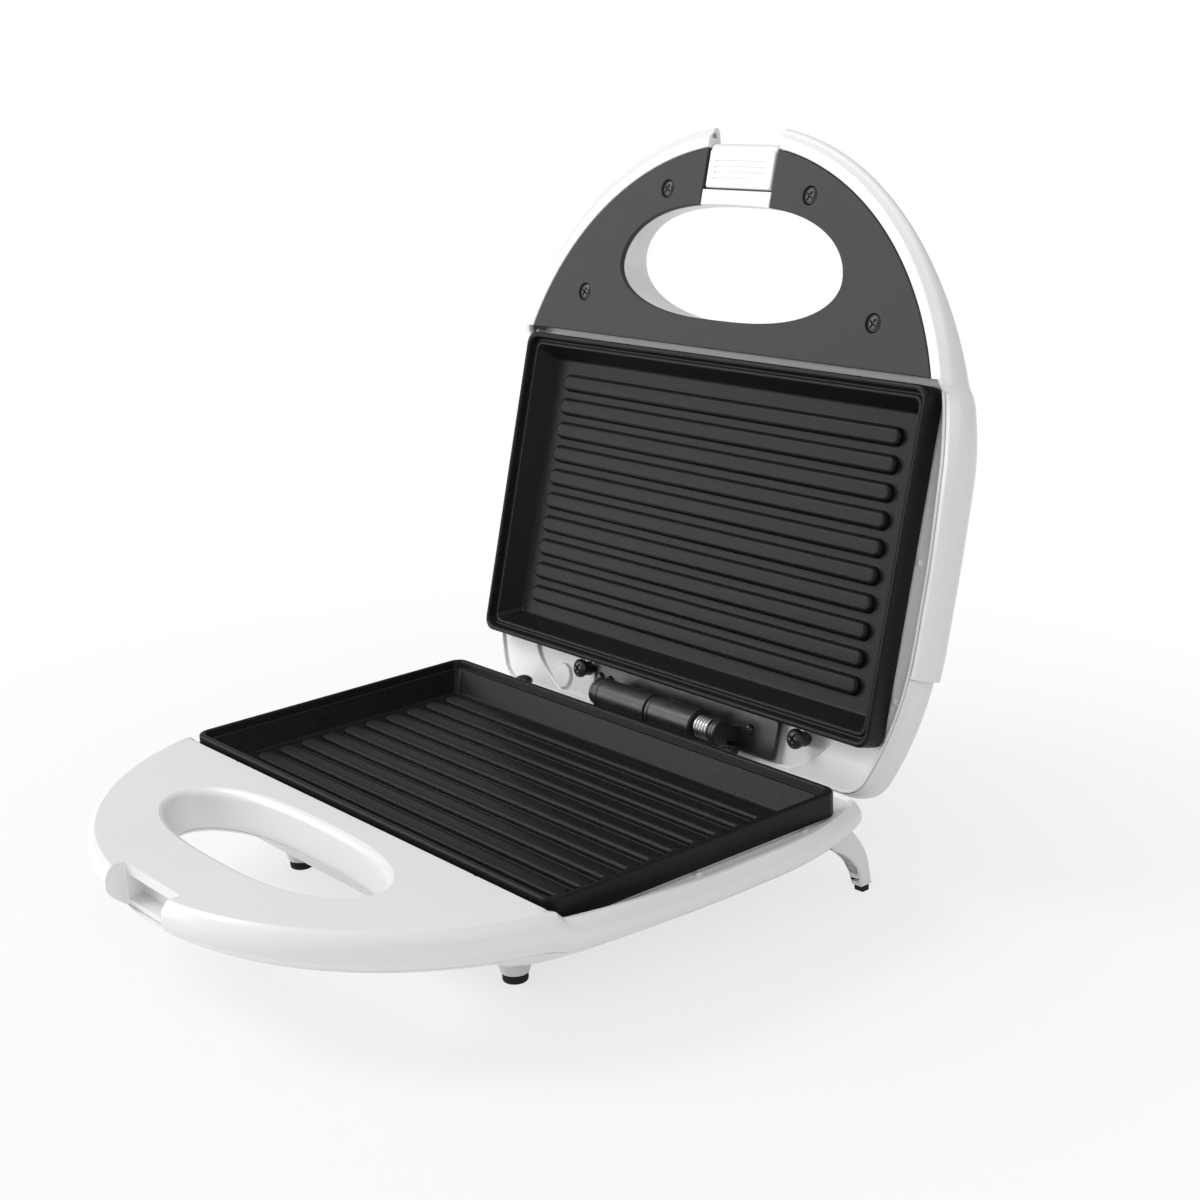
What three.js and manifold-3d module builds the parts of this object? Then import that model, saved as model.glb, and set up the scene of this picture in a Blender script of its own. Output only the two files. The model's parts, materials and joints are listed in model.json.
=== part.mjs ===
// Sandwich maker with two hinged ribbed grill plates, opened, in millimetres, +Z up.
// X runs along the hinge, +Y points from the handle to the hinge, Z = 0 is the table top.
// Both halves are drawn in the same half frame: its origin is the centre of the grill plate on the
// plane of the plate's outer ridge, +Y points to the hinge and +Z (called depth) into the housing.
import * as THREE from 'three';
import { mergeVertices } from 'three/addons/utils/BufferGeometryUtils.js';
import Module from 'manifold-3d';

const wasm = await Module();
wasm.setup();

// Grill plates
const PLATE_LENGTH = 220;
const PLATE_DEPTH = 127.6;
const PLATE_CORNER_RADIUS = 5;
const PLATE_SKIRT_DEPTH = 9;
const PLATE_SKIRT_THICKNESS = 2;
const RIDGE_BEVEL = 0.7;
const RIDGE_WIDTH = 2;
const GROOVE_INSET = 3;
const GROOVE_DEPTH = 3.1;
const INNER_RIDGE_INSET = 4.2;
const INNER_RIDGE_DEPTH = 2.6;
const FLOOR_INSET = 10;
const FLOOR_DEPTH = 11.3;
const FLOOR_THICKNESS = 2.7;
const FLANGE_THICKNESS = 2.4;
const UNDERSIDE_INSET = 5.4;
const RIB_COUNT = 10;
const RIB_END_MARGIN = 6;
const RIB_ROW_MARGIN = 9.015;
const RIB_HALF_LENGTH = PLATE_LENGTH / 2 - FLOOR_INSET - RIB_END_MARGIN;
const RIB_PITCH = (PLATE_DEPTH - (FLOOR_INSET + RIB_ROW_MARGIN) * 2) / (RIB_COUNT - 1);
const RIB_RADIUS = 3.5;
const RIB_HEIGHT = 2.5;
const RIB_CAP_STEPS = 2;
const RIB_SIDES = 10;

// Hinge and opening angle
const CLOSED_GAP = 0.8;
const HINGE_BEHIND_PLATE = 10.4;
const HINGE_ABOVE_BASE_RIDGE = 0.4;
const OPEN_ANGLE_DEGREES = 104.8;
const FIT_GAP = 0.3;

// Plan outline shared by both housings
const RIM_SIDE_MARGIN = 7;
const RIM_REAR_MARGIN = 19.6;
const FRONT_ARC_INSET = 29.6;
const FRONT_ARC_REACH = 112.5;
const REAR_ARC_INSET = 38.4;
const RIM_RADIUS = PLATE_LENGTH / 2 + RIM_SIDE_MARGIN;
const FRONT_ARC_CENTRE_Y = FRONT_ARC_INSET - PLATE_DEPTH / 2;
const REAR_ARC_CENTRE_Y = PLATE_DEPTH / 2 - REAR_ARC_INSET;
const FRONT_RIM_Y = FRONT_ARC_CENTRE_Y - FRONT_ARC_REACH;
const REAR_RIM_Y = PLATE_DEPTH / 2 + RIM_REAR_MARGIN;
const REAR_CORNER_RADIUS = 12;
const FRONT_ARC_STEPS = 22;
const REAR_ARC_STEPS = 5;
const CORNER_STEPS = 3;
const SIDE_STEPS = 2;

// Heaters and reflectors
const REFLECTOR_FLANGE_INSET = 0.6;
const REFLECTOR_WALL_INSET = 3.8;
const REFLECTOR_FLOOR_INSET = 12;
const REFLECTOR_SHEET = 0.7;
const HEATER_RADIUS = 3.2;
const HEATER_UNDER_ROOM = 1.3;
const HEATER_TOP_DEPTH = FLOOR_DEPTH + FLOOR_THICKNESS + FIT_GAP;
const REFLECTOR_FLOOR_DEPTH = HEATER_TOP_DEPTH + HEATER_RADIUS * 2 + HEATER_UNDER_ROOM;
const HEATER_HOLE_GAP = 2.3;
const HEATER_SIDES = 7;
const HEATER_SIDE_INSET = 28;
const HEATER_FRONT_INSET = 32.4;
const HEATER_HALF_LENGTH = PLATE_LENGTH / 2 - HEATER_SIDE_INSET;
const HEATER_HALF_DEPTH = PLATE_DEPTH / 2 - HEATER_FRONT_INSET;
const HEATER_TERMINAL_X = 30;
const HEATER_BEND = 9;
const HEATER_STEPS = 40;

// Frame around each grill plate
const FRAME_OUTER_OFFSET = -0.8;
const LIP_THICKNESS = 1.3;
const FRAME_FLOOR_DEPTH = PLATE_SKIRT_DEPTH + REFLECTOR_SHEET + FIT_GAP * 2;
const FRAME_FLOOR_THICKNESS = 2;
const FRAME_SKIRT_REACH = 1.7;
const FRAME_SKIRT_DEPTH = FRAME_FLOOR_DEPTH + FRAME_FLOOR_THICKNESS + FRAME_SKIRT_REACH;
const FRAME_OPENING_INSET = 3.4;
const PLATE_CLEARANCE = 0.6;
const NUB_WIDTH = 1;
const NUB_PLATE_GAP = 0.35;
const NUB_X = PLATE_LENGTH / 2 + NUB_PLATE_GAP + NUB_WIDTH / 2;
const NUB_LENGTH = 3;
const NUB_HEIGHT = 2.7;
const NUB_PLACE_SHARES = [-0.83, -0.054, 0.721];

// Lid housing, whose profile bulges beyond the rim and then runs inward to the crown
const LID_BULGE = 5;
const LID_PROFILE_SHARES = [
  { depthShare: 0, bulgeShare: 0.28, inwardShare: 0 },
  { depthShare: 0.1, bulgeShare: 0.8, inwardShare: 0 },
  { depthShare: 0.24, bulgeShare: 1, inwardShare: 0 },
  { depthShare: 0.4, bulgeShare: 0.92, inwardShare: 0 },
  { depthShare: 0.58, bulgeShare: 0.3, inwardShare: 0 },
  { depthShare: 0.73, bulgeShare: 0, inwardShare: 0.034 },
  { depthShare: 0.85, bulgeShare: 0, inwardShare: 0.103 },
  { depthShare: 0.94, bulgeShare: 0, inwardShare: 0.205 },
  { depthShare: 0.98, bulgeShare: 0, inwardShare: 0.325 },
  { depthShare: 1, bulgeShare: 0, inwardShare: 0.53 },
  { depthShare: 1, bulgeShare: 0, inwardShare: 0.77 },
  { depthShare: 1, bulgeShare: 0, inwardShare: 0.87 },
];
const LID_CROWN_DEPTH = 34;
const LID_HANDLE_CROWN_DEPTH = 10.2;
const LID_SLOPE_FRONT_INSET = 12.1;
const LID_SLOPE_REAR_INSET = 35;
const LID_SLOPE_FRONT_Y = FRONT_RIM_Y + LID_SLOPE_FRONT_INSET;
const LID_SLOPE_REAR_Y = LID_SLOPE_REAR_INSET - PLATE_DEPTH / 2;
const LID_WALL = 1.8;
const LID_SEAM_INSET = 26.9;
const LID_SEAM_Y = PLATE_DEPTH / 2 - LID_SEAM_INSET;
const LID_REAR_STEP = 2.5;
const PANEL_RIM_DEPTH = 1.3;
const LIP_OVER_FLOOR = 1.3;
const PLATE_RIM_DEPTH = FRAME_FLOOR_DEPTH - LIP_OVER_FLOOR;
const RIM_STEP_DEPTH = 5.6;
const RIM_STEP_AHEAD = 1.5;
const RIM_STEP_LENGTH = 4;
const RIM_RAMP_LENGTH = 67;
const RIM_STEP_FRONT_Y = -PLATE_DEPTH / 2 - RIM_STEP_AHEAD;
const RIM_STEP_REAR_Y = RIM_STEP_FRONT_Y + RIM_STEP_LENGTH;
const RIM_LEVEL_Y = RIM_STEP_REAR_Y + RIM_RAMP_LENGTH;

// Insert panel, finger opening and notch on the handle of the lid
const PANEL_MARGIN = 3.2;
const PANEL_RADIUS = RIM_RADIUS - PANEL_MARGIN;
const PANEL_THICKNESS = 1.8;
const PANEL_PLATE_GAP = 2.5;
const PANEL_REAR_Y = -PLATE_DEPTH / 2 - PANEL_PLATE_GAP;
const FRAME_UNDER_PANEL = 6;
const FRAME_FRONT_Y = PANEL_REAR_Y - FRAME_UNDER_PANEL;
const PANEL_LEDGE_WIDTH = 3;
const PANEL_LEDGE_THICKNESS = 1.6;
const PANEL_SEAT_DEPTH = PANEL_RIM_DEPTH + PANEL_THICKNESS + FIT_GAP;
const PANEL_LEDGE_DEPTH = PANEL_SEAT_DEPTH + PANEL_LEDGE_THICKNESS;
const FINGER_CENTRE_X = 0.8;
const FINGER_SIDE_MARGIN = 56.8;
const FINGER_HALF_WIDTH = RIM_RADIUS - FINGER_SIDE_MARGIN;
const FINGER_REAR_INSET = 10.9;
const FINGER_REAR_Y = PANEL_REAR_Y - FINGER_REAR_INSET;
const FINGER_FRONT_INSET = 25.7;
const FINGER_FRONT_Y = FRONT_RIM_Y + FINGER_FRONT_INSET;
const FINGER_WIDEST_SHARE = 0.432;
const FINGER_STEPS = 28;
const FINGER_FULLNESS_POWER = 0.74;
const FINGER_WALL = 2.2;
const BRIDGE_WIDTH = 5.4;
const NOTCH_HALF_WIDTH = 18.9;
const NOTCH_REAR_Y = FINGER_FRONT_Y - BRIDGE_WIDTH;
const INSERT_SCREW_FRONT_MARGIN = 11;
const INSERT_SCREW_FRONT_DEGREES = 68;
const INSERT_SCREW_SIDE_MARGIN = 20.1;
const INSERT_SCREW_SIDE_DEGREES = 32.5;
const INSERT_SCREW_HEAD_RADIUS = 3.3;
const INSERT_SCREW_HEAD_DEPTH = 1.4;
const INSERT_SCREW_SHANK_RADIUS = 1.4;
const INSERT_SCREW_REACH = 6.7;
const INSERT_SCREW_END_DEPTH = PANEL_RIM_DEPTH + INSERT_SCREW_REACH;
const CROSS_LENGTH_SHARE = 0.6;
const CROSS_WIDTH_SHARE = 0.11;
const BOSS_RADIUS = 4.4;

// Base housing
const BASE_BULGE = 3.2;
const BASE_PROFILE_SHARES = [
  { depthShare: 0, bulgeShare: 0, inwardShare: 0 },
  { depthShare: 0.07, bulgeShare: 0.625, inwardShare: 0 },
  { depthShare: 0.17, bulgeShare: 1, inwardShare: 0 },
  { depthShare: 0.31, bulgeShare: 0.75, inwardShare: 0 },
  { depthShare: 0.45, bulgeShare: 0, inwardShare: 0.021 },
  { depthShare: 0.6, bulgeShare: 0, inwardShare: 0.081 },
  { depthShare: 0.77, bulgeShare: 0, inwardShare: 0.154 },
  { depthShare: 0.91, bulgeShare: 0, inwardShare: 0.239 },
  { depthShare: 1, bulgeShare: 0, inwardShare: 0.333 },
];
const THERMOSTAT_RADIUS = 8;
const THERMOSTAT_HEIGHT = 5;
const BASE_WALL = 2.2;
const BASE_ROOM = 4.8;
const BASE_BOTTOM_DEPTH = REFLECTOR_FLOOR_DEPTH + THERMOSTAT_HEIGHT + BASE_ROOM + BASE_WALL;
const STAND_HEIGHT = 14;
const RIDGE_HEIGHT = BASE_BOTTOM_DEPTH + STAND_HEIGHT;
const BASE_HANDLE_RIM_DEPTH = 2;
const BASE_HANDLE_DECK = 2.2;
const BASE_SPLIT_BELOW_FRAME = 4.9;
const BASE_SPLIT_DEPTH = FRAME_FLOOR_DEPTH + FRAME_FLOOR_THICKNESS + BASE_SPLIT_BELOW_FRAME;
const HANDLE_UNDERSIDE_WALL = 2.1;
const HANDLE_UNDERSIDE_DEPTH = BASE_SPLIT_DEPTH + FIT_GAP + HANDLE_UNDERSIDE_WALL;
const TUB_AHEAD = 11.2;
const TUB_FRONT_Y = -PLATE_DEPTH / 2 - TUB_AHEAD;
const TUB_FRONT_SLOPE = 14;
const BASE_FINGER_SIDE_MARGIN = 56.5;
const BASE_FINGER_HALF_WIDTH = RIM_RADIUS - BASE_FINGER_SIDE_MARGIN;
const BASE_FINGER_REAR_INSET = 13.7;
const BASE_FINGER_REAR_Y = -PLATE_DEPTH / 2 - BASE_FINGER_REAR_INSET;
const BASE_FINGER_FRONT_INSET = 30.2;
const BASE_FINGER_FRONT_Y = FRONT_RIM_Y + BASE_FINGER_FRONT_INSET;
const BASE_FINGER_WIDEST_SHARE = 0.46;
const BASE_FINGER_WALL = 2;
const RECESS_GAP = 1.5;
const RECESS_FRONT_Y = -PLATE_DEPTH / 2 - RECESS_GAP;
const RECESS_WALL = 1.6;
const REAR_SHELF_INSET = 7.2;
const REAR_SHELF_Y = REAR_RIM_Y - REAR_SHELF_INSET;
const REAR_WALL = 2.2;

// Hinge
const BARREL_RADIUS = 6.5;
const PIN_RADIUS = 2.4;
const PIN_BORE_RADIUS = 2.8;
const PIN_SPAN = { start: -32.9, end: 43 };
const LID_KNUCKLE = { start: -27, end: 2.6 };
const BASE_KNUCKLE = { start: 3.4, end: 28.4 };
const LID_EAR = { start: 37.6, end: 41 };
const BASE_RING = { start: -31.3, end: -27.8 };
const BARREL_SIDES = 20;
const BRACKET_SPAN = { start: -44.5, end: 41 };
const BRACKET_PLATE_THICKNESS = 1.6;
const BRACKET_FRONT_ARM = 5.4;
const BRACKET_REAR_ARM = 2.8;
const LID_BRACKET_REAR_ARM = 6;
const ARM_HALF_WIDTH = 2.8;
const SPRING_SPAN = { start: 28.7, end: 37.3 };
const SPRING_COIL_RADIUS = 4.2;
const SPRING_WIRE_RADIUS = 0.6;
const SPRING_CURLS = 4;
const SPRING_STEPS_PER_CURL = 8;
const SPRING_WIRE_SIDES = 5;

// Screws with collars beside the hinge
const FRAME_SCREW_LEFT_INSET = 37.5;
const FRAME_SCREW_BESIDE_BRACKET = 5.1;
const FRAME_SCREW_LEFT_X = PLATE_LENGTH / 2 - FRAME_SCREW_LEFT_INSET;
const FRAME_SCREW_RIGHT_X = BRACKET_SPAN.start - FRAME_SCREW_BESIDE_BRACKET;
const FRAME_SCREWS_X = [FRAME_SCREW_LEFT_X, FRAME_SCREW_RIGHT_X];
const LID_BRACKET_SCREW_GAP = 12.5;
const LID_BRACKET_FOOT_END = FRAME_SCREW_LEFT_X - LID_BRACKET_SCREW_GAP;
const FRAME_SCREW_BEHIND_PLATE = 4.8;
const FRAME_SCREW_Y = PLATE_DEPTH / 2 + FRAME_SCREW_BEHIND_PLATE;
const FRAME_SCREW_TOP_DEPTH = 3;
const FRAME_SCREW_HEAD_RADIUS = 3.8;
const FRAME_SCREW_HEAD_DEPTH = 2.6;
const FRAME_SCREW_COLLAR_RADIUS = 2.9;
const FRAME_SCREW_SHANK_RADIUS = 1.5;
const FRAME_SCREW_BITE = 4.3;
const FRAME_SCREW_END_DEPTH = FRAME_FLOOR_DEPTH + FRAME_FLOOR_THICKNESS + FRAME_SCREW_BITE;

// Latch clip and the notch of the base that it closes on
const LATCH_PIVOT_INSET = 5;
const LATCH_PIVOT_Y = FRONT_RIM_Y + LATCH_PIVOT_INSET;
const LATCH_PIVOT_DEPTH = 4.4;
const LATCH_SIDE_GAP = 1.3;
const LATCH_HALF_WIDTH = NOTCH_HALF_WIDTH - LATCH_SIDE_GAP;
const LATCH_BARREL_RADIUS = 2.4;
const LATCH_PIN_RADIUS = 1;
const LATCH_PIN_BORE_RADIUS = 1.35;
const LATCH_PIN_OVERHANG = 2.7;
const LATCH_FACE_DEPTH = 1.4;
const LATCH_THICKNESS = 1.9;
const LATCH_END_GAP = 0.7;
const LATCH_REACH = NOTCH_REAR_Y - LATCH_PIVOT_Y - LATCH_END_GAP;
const LATCH_NOSE_WIDTH = 1.7;
const LATCH_NOSE_DEPTH = 7.6;
const BASE_NOTCH_EDGE_INSET = 1;
const BASE_NOTCH_EDGE_Y = LATCH_PIVOT_Y + BASE_NOTCH_EDGE_INSET;
const BASE_NOTCH_LEDGE_LENGTH = 5.6;
const BASE_NOTCH_LEDGE_Y = BASE_NOTCH_EDGE_Y + BASE_NOTCH_LEDGE_LENGTH;
const BASE_NOTCH_LEDGE_THICKNESS = 4;

// Feet and rear legs, whose curves are shares of the leg's reach and height
const FOOT_SIDE_INSET = 43.5;
const FOOT_FRONT_INSET = 17;
const FOOT_X = PLATE_LENGTH / 2 - FOOT_SIDE_INSET;
const FOOT_Y = FOOT_FRONT_INSET - PLATE_DEPTH / 2;
const FOOT_TOP_RADIUS = 8;
const FOOT_BOTTOM_RADIUS = 4.9;
const TIP_RADIUS = 4.5;
const TIP_HEIGHT = 3;
const LEG_SIDE_INSET = 18;
const LEG_WIDTH = 10;
const LEG_INNER_X = PLATE_LENGTH / 2 - LEG_SIDE_INSET;
const LEG_OUTER_X = LEG_INNER_X + LEG_WIDTH;
const LEG_ROOT_INSET = 17;
const LEG_ROOT_Y = REAR_RIM_Y - LEG_ROOT_INSET;
const LEG_LENGTH = 22.4;
const LEG_ROOT_DEPTH = 21;
const LEG_HEIGHT = RIDGE_HEIGHT - LEG_ROOT_DEPTH;
const LEG_BACK_SHARES = [
  { lengthShare: 0, heightShare: 1 },
  { lengthShare: 0.447, heightShare: 1 },
  { lengthShare: 0.71, heightShare: 0.8 },
  { lengthShare: 0.905, heightShare: 0.5 },
  { lengthShare: 1, heightShare: 0.09 },
];
const LEG_FRONT_SHARES = [
  { lengthShare: 0.77, heightShare: 0.09 },
  { lengthShare: 0.705, heightShare: 0.35 },
  { lengthShare: 0.495, heightShare: 0.575 },
  { lengthShare: 0.16, heightShare: 0.76 },
];
const LEG_PAD_GAP = 0.3;
const LEG_PAD_INSET = 0.8;

// Electrical pieces
const THERMOSTAT_Y = -8;
const THERMOSTAT_TAB = { width: 3, thickness: 0.8, length: 7, x: 4 };
const FUSE = { radius: 1.8, length: 14, x: 34, y: 6 };
const TERMINAL_BLOCK = { width: 34, depth: 8, height: 7.2, x: -8, behindPlate: 4, belowFrame: 7.1 };
const WIRE_RADIUS = 1;
const WIRE_SIDES = 6;
const WIRE_STEPS = 10;
const WIRE_BEND = 8;
const WIRE_PLACE_SHARES = [0.24, -0.21, -0.47];
const LID_WIRE_BEND = 16;
const LID_WIRE_REACH = 32;
const GLAND = { outer: 4.6, bore: 3.2, flange: 6.4, flangeLength: 2.2, boss: 7.4, x: 34 };
const GLAND_BELOW_SPLIT = 7.8;
const GLAND_DEPTH = BASE_SPLIT_DEPTH + GLAND_BELOW_SPLIT;
const GLAND_INSIDE_REACH = 7.8;
const GLAND_INSIDE_Y = REAR_SHELF_Y - GLAND_INSIDE_REACH;
const GLAND_BOSS_REACH = 1.4;
const GLAND_BOSS_Y = REAR_RIM_Y + GLAND_BOSS_REACH;
const LAMP = { radius: 3.6, y: -14, spacing: 15, rise: 1, sink: 3.2, flange: 4.6, flangeLength: 1.2 };
const NEON = { radius: 2.4, length: 6 };
const BOTTOM_SCREW = { headRadius: 2.8, headHeight: 1.8, shankRadius: 1.4, recess: 5.2, boss: 4 };
const BOTTOM_SCREW_FRONT = { sideInset: 36, beyondPlate: 0.6 };
const BOTTOM_SCREW_REAR = { sideInset: 48, beyondPlate: 5.1 };

// Working sizes
const ROUND_SIDES = 16;
const SMALL_SIDES = 12;
const REACH = 400;
const OVERLAP = 0.05;

// Materials
const whitePlastic = { color: 0xf2f2f0, roughness: 0.28, metalness: 0 };
const panelPlastic = { color: 0x3a3a3d, roughness: 0.55, metalness: 0 };
const nonstick = { color: 0x1b1b1c, roughness: 0.5, metalness: 0.1 };
const blackPlastic = { color: 0x151516, roughness: 0.5, metalness: 0 };
const rubber = { color: 0x111111, roughness: 0.9, metalness: 0 };
const steel = { color: 0x9a9a9c, roughness: 0.35, metalness: 1 };
const blackSteel = { color: 0x222224, roughness: 0.4, metalness: 0.8 };
const aluminised = { color: 0xb8babc, roughness: 0.4, metalness: 1 };
const wireSleeve = { color: 0xd8d3c4, roughness: 0.8, metalness: 0 };
const redLens = { color: 0xb3140f, roughness: 0.2, metalness: 0 };
const greenLens = { color: 0x14803a, roughness: 0.2, metalness: 0 };
const glass = { color: 0xe8eef0, roughness: 0.1, metalness: 0 };
const bakelite = { color: 0xc9c2b0, roughness: 0.6, metalness: 0 };

// Solids and joining

function toSolid(geometry) {
  const bare = geometry.index ? geometry.toNonIndexed() : geometry.clone();
  bare.deleteAttribute('normal');
  bare.deleteAttribute('uv');
  const merged = mergeVertices(bare, 1e-4);
  const places = merged.attributes.position.array;
  const corners = merged.index.array;
  const triangles = [];
  for (let i = 0; i < corners.length; i += 3) {
    const [a, b, c] = [corners[i], corners[i + 1], corners[i + 2]];
    if (a !== b && b !== c && c !== a) triangles.push(a, b, c);
  }
  return new wasm.Manifold(
    new wasm.Mesh({ numProp: 3, vertProperties: places, triVerts: new Uint32Array(triangles) }),
  );
}

function toGeometry(solid) {
  const mesh = solid.getMesh();
  const geometry = new THREE.BufferGeometry();
  geometry.setAttribute('position', new THREE.BufferAttribute(new Float32Array(mesh.vertProperties), 3));
  geometry.setIndex(new THREE.BufferAttribute(new Uint32Array(mesh.triVerts), 1));
  geometry.computeVertexNormals();
  return geometry;
}

function join(...solids) {
  return solids.reduce((whole, next) => whole.add(next));
}

function piece(name, solid, look) {
  const mesh = new THREE.Mesh(toGeometry(solid), new THREE.MeshStandardMaterial(look));
  mesh.name = name;
  return mesh;
}

// Box between two corners given as ranges on each axis
function block(xRange, yRange, zRange) {
  const size = [xRange, yRange, zRange].map(([low, high]) => high - low);
  const middle = [xRange, yRange, zRange].map(([low, high]) => (low + high) / 2);
  return toSolid(new THREE.BoxGeometry(...size).translate(...middle));
}

// Cylinder or cone standing on the depth axis
function disc(x, y, depths, radius, endRadius = radius, sides = ROUND_SIDES) {
  const length = depths[1] - depths[0];
  const geometry = new THREE.CylinderGeometry(endRadius, radius, length, sides);
  geometry.rotateX(Math.PI / 2);
  return toSolid(geometry.translate(x, y, (depths[0] + depths[1]) / 2));
}

// Slim cylinder standing on the depth axis
function pillar(x, y, depths, radius) {
  return disc(x, y, depths, radius, radius, SMALL_SIDES);
}

// Cylinder lying along X
function rod(span, y, z, radius, sides = ROUND_SIDES) {
  const geometry = new THREE.CylinderGeometry(radius, radius, span.end - span.start, sides);
  geometry.rotateZ(Math.PI / 2);
  return toSolid(geometry.translate((span.start + span.end) / 2, y, z));
}

// Upright prism of an outline between two depths
function prism(outline, depths) {
  const shape = new THREE.Shape(outline);
  const settings = { depth: depths[1] - depths[0], bevelEnabled: false };
  return toSolid(new THREE.ExtrudeGeometry(shape, settings).translate(0, 0, depths[0]));
}

// Closed skin through rings that all have the same number of points, with a cap at each end
function loft(rings) {
  const count = rings[0].length;
  const places = rings.flat().flatMap((point) => [point.x, point.y, point.z]);
  const triangles = [];
  for (let ring = 0; ring + 1 < rings.length; ring += 1) {
    for (let i = 0; i < count; i += 1) {
      const a = ring * count + i;
      const b = ring * count + ((i + 1) % count);
      triangles.push(a, b, b + count, a, b + count, a + count);
    }
  }
  const last = (rings.length - 1) * count;
  const capOf = (ring) => {
    const flat = ring.map((point) => new THREE.Vector2(point.x, point.y));
    return THREE.ShapeUtils.triangulateShape(flat, []);
  };
  for (const [a, b, c] of capOf(rings[0])) triangles.push(c, b, a);
  for (const [a, b, c] of capOf(rings[rings.length - 1])) triangles.push(last + a, last + b, last + c);
  const geometry = new THREE.BufferGeometry();
  geometry.setAttribute('position', new THREE.Float32BufferAttribute(places, 3));
  geometry.setIndex(triangles);
  return toSolid(geometry);
}

// Route of straight runs with a round bend at each inner point
function bentRoute(points, bend) {
  const corners = points.map(([x, y, z]) => new THREE.Vector3(x, y, z));
  const route = new THREE.CurvePath();
  const pointNear = (corner, towards) => {
    const step = Math.min(bend, corner.distanceTo(towards) / 2);
    return corner.clone().add(towards.clone().sub(corner).setLength(step));
  };
  let start = corners[0];
  for (let i = 1; i + 1 < corners.length; i += 1) {
    const into = pointNear(corners[i], corners[i - 1]);
    const out = pointNear(corners[i], corners[i + 1]);
    route.add(new THREE.LineCurve3(start, into));
    route.add(new THREE.QuadraticBezierCurve3(into, corners[i], out));
    start = out;
  }
  route.add(new THREE.LineCurve3(start, corners[corners.length - 1]));
  return route;
}

// Round tube along a bent route
function tube(points, bend, radius, sides, steps) {
  const section = [];
  for (let i = 0; i < sides; i += 1) {
    const angle = (i / sides) * Math.PI * 2;
    section.push(new THREE.Vector2(radius * Math.cos(angle), radius * Math.sin(angle)));
  }
  const settings = { steps, bevelEnabled: false, extrudePath: bentRoute(points, bend) };
  return toSolid(new THREE.ExtrudeGeometry(new THREE.Shape(section), settings));
}

// Plan outlines

function ease(value) {
  const held = THREE.MathUtils.clamp(value, 0, 1);
  return held * held * (3 - 2 * held);
}

function frontArcPoint(radius, angle) {
  const reach = (radius * FRONT_ARC_REACH) / RIM_RADIUS;
  return new THREE.Vector2(radius * Math.cos(angle), FRONT_ARC_CENTRE_Y + reach * Math.sin(angle));
}

// Housing outline, a front half oval, straight sides, rear arcs and a straight rear with round corners
function housingOutline(offset) {
  const radius = RIM_RADIUS + offset;
  const rearY = REAR_ARC_CENTRE_Y + ((REAR_RIM_Y - REAR_ARC_CENTRE_Y) * radius) / RIM_RADIUS;
  const softened = Math.max(REAR_CORNER_RADIUS + offset / 2, REAR_CORNER_RADIUS / 2);
  const corner = Math.min(softened, radius / 2);
  const centreY = rearY - corner;
  const centreX = Math.sqrt((radius - corner) ** 2 - (centreY - REAR_ARC_CENTRE_Y) ** 2);
  const cornerStart = Math.atan2(centreY - REAR_ARC_CENTRE_Y, centreX);
  const points = [];
  const arc = (x, y, size, from, to, steps, first) => {
    for (let i = first; i <= steps; i += 1) {
      const angle = from + ((to - from) * i) / steps;
      points.push(new THREE.Vector2(x + size * Math.cos(angle), y + size * Math.sin(angle)));
    }
  };
  for (let i = 0; i <= FRONT_ARC_STEPS; i += 1) {
    points.push(frontArcPoint(radius, (Math.PI * i) / FRONT_ARC_STEPS - Math.PI));
  }
  for (let i = 1; i < SIDE_STEPS; i += 1) {
    const y = FRONT_ARC_CENTRE_Y + ((REAR_ARC_CENTRE_Y - FRONT_ARC_CENTRE_Y) * i) / SIDE_STEPS;
    points.push(new THREE.Vector2(radius, y));
  }
  arc(0, REAR_ARC_CENTRE_Y, radius, 0, cornerStart, REAR_ARC_STEPS, 0);
  arc(centreX, centreY, corner, cornerStart, Math.PI / 2, CORNER_STEPS, 1);
  arc(-centreX, centreY, corner, Math.PI / 2, Math.PI - cornerStart, CORNER_STEPS, 0);
  arc(0, REAR_ARC_CENTRE_Y, radius, Math.PI - cornerStart, Math.PI, REAR_ARC_STEPS, 1);
  for (let i = 1; i < SIDE_STEPS; i += 1) {
    const y = REAR_ARC_CENTRE_Y + ((FRONT_ARC_CENTRE_Y - REAR_ARC_CENTRE_Y) * i) / SIDE_STEPS;
    points.push(new THREE.Vector2(-radius, y));
  }
  return points;
}

// Rounded rectangle of the grill plate, drawn in by an inset
function plateOutline(inset) {
  const halfX = PLATE_LENGTH / 2 - inset;
  const halfY = PLATE_DEPTH / 2 - inset;
  const corner = Math.max(PLATE_CORNER_RADIUS - inset / 2, PLATE_CORNER_RADIUS / 3);
  const points = [];
  const centres = [[1, 1], [-1, 1], [-1, -1], [1, -1]];
  centres.forEach(([signX, signY], quarter) => {
    for (let i = 0; i <= CORNER_STEPS; i += 1) {
      const angle = ((quarter + i / CORNER_STEPS) * Math.PI) / 2;
      const x = signX * (halfX - corner) + corner * Math.cos(angle);
      const y = signY * (halfY - corner) + corner * Math.sin(angle);
      points.push(new THREE.Vector2(x, y));
    }
  });
  return points;
}

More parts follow.
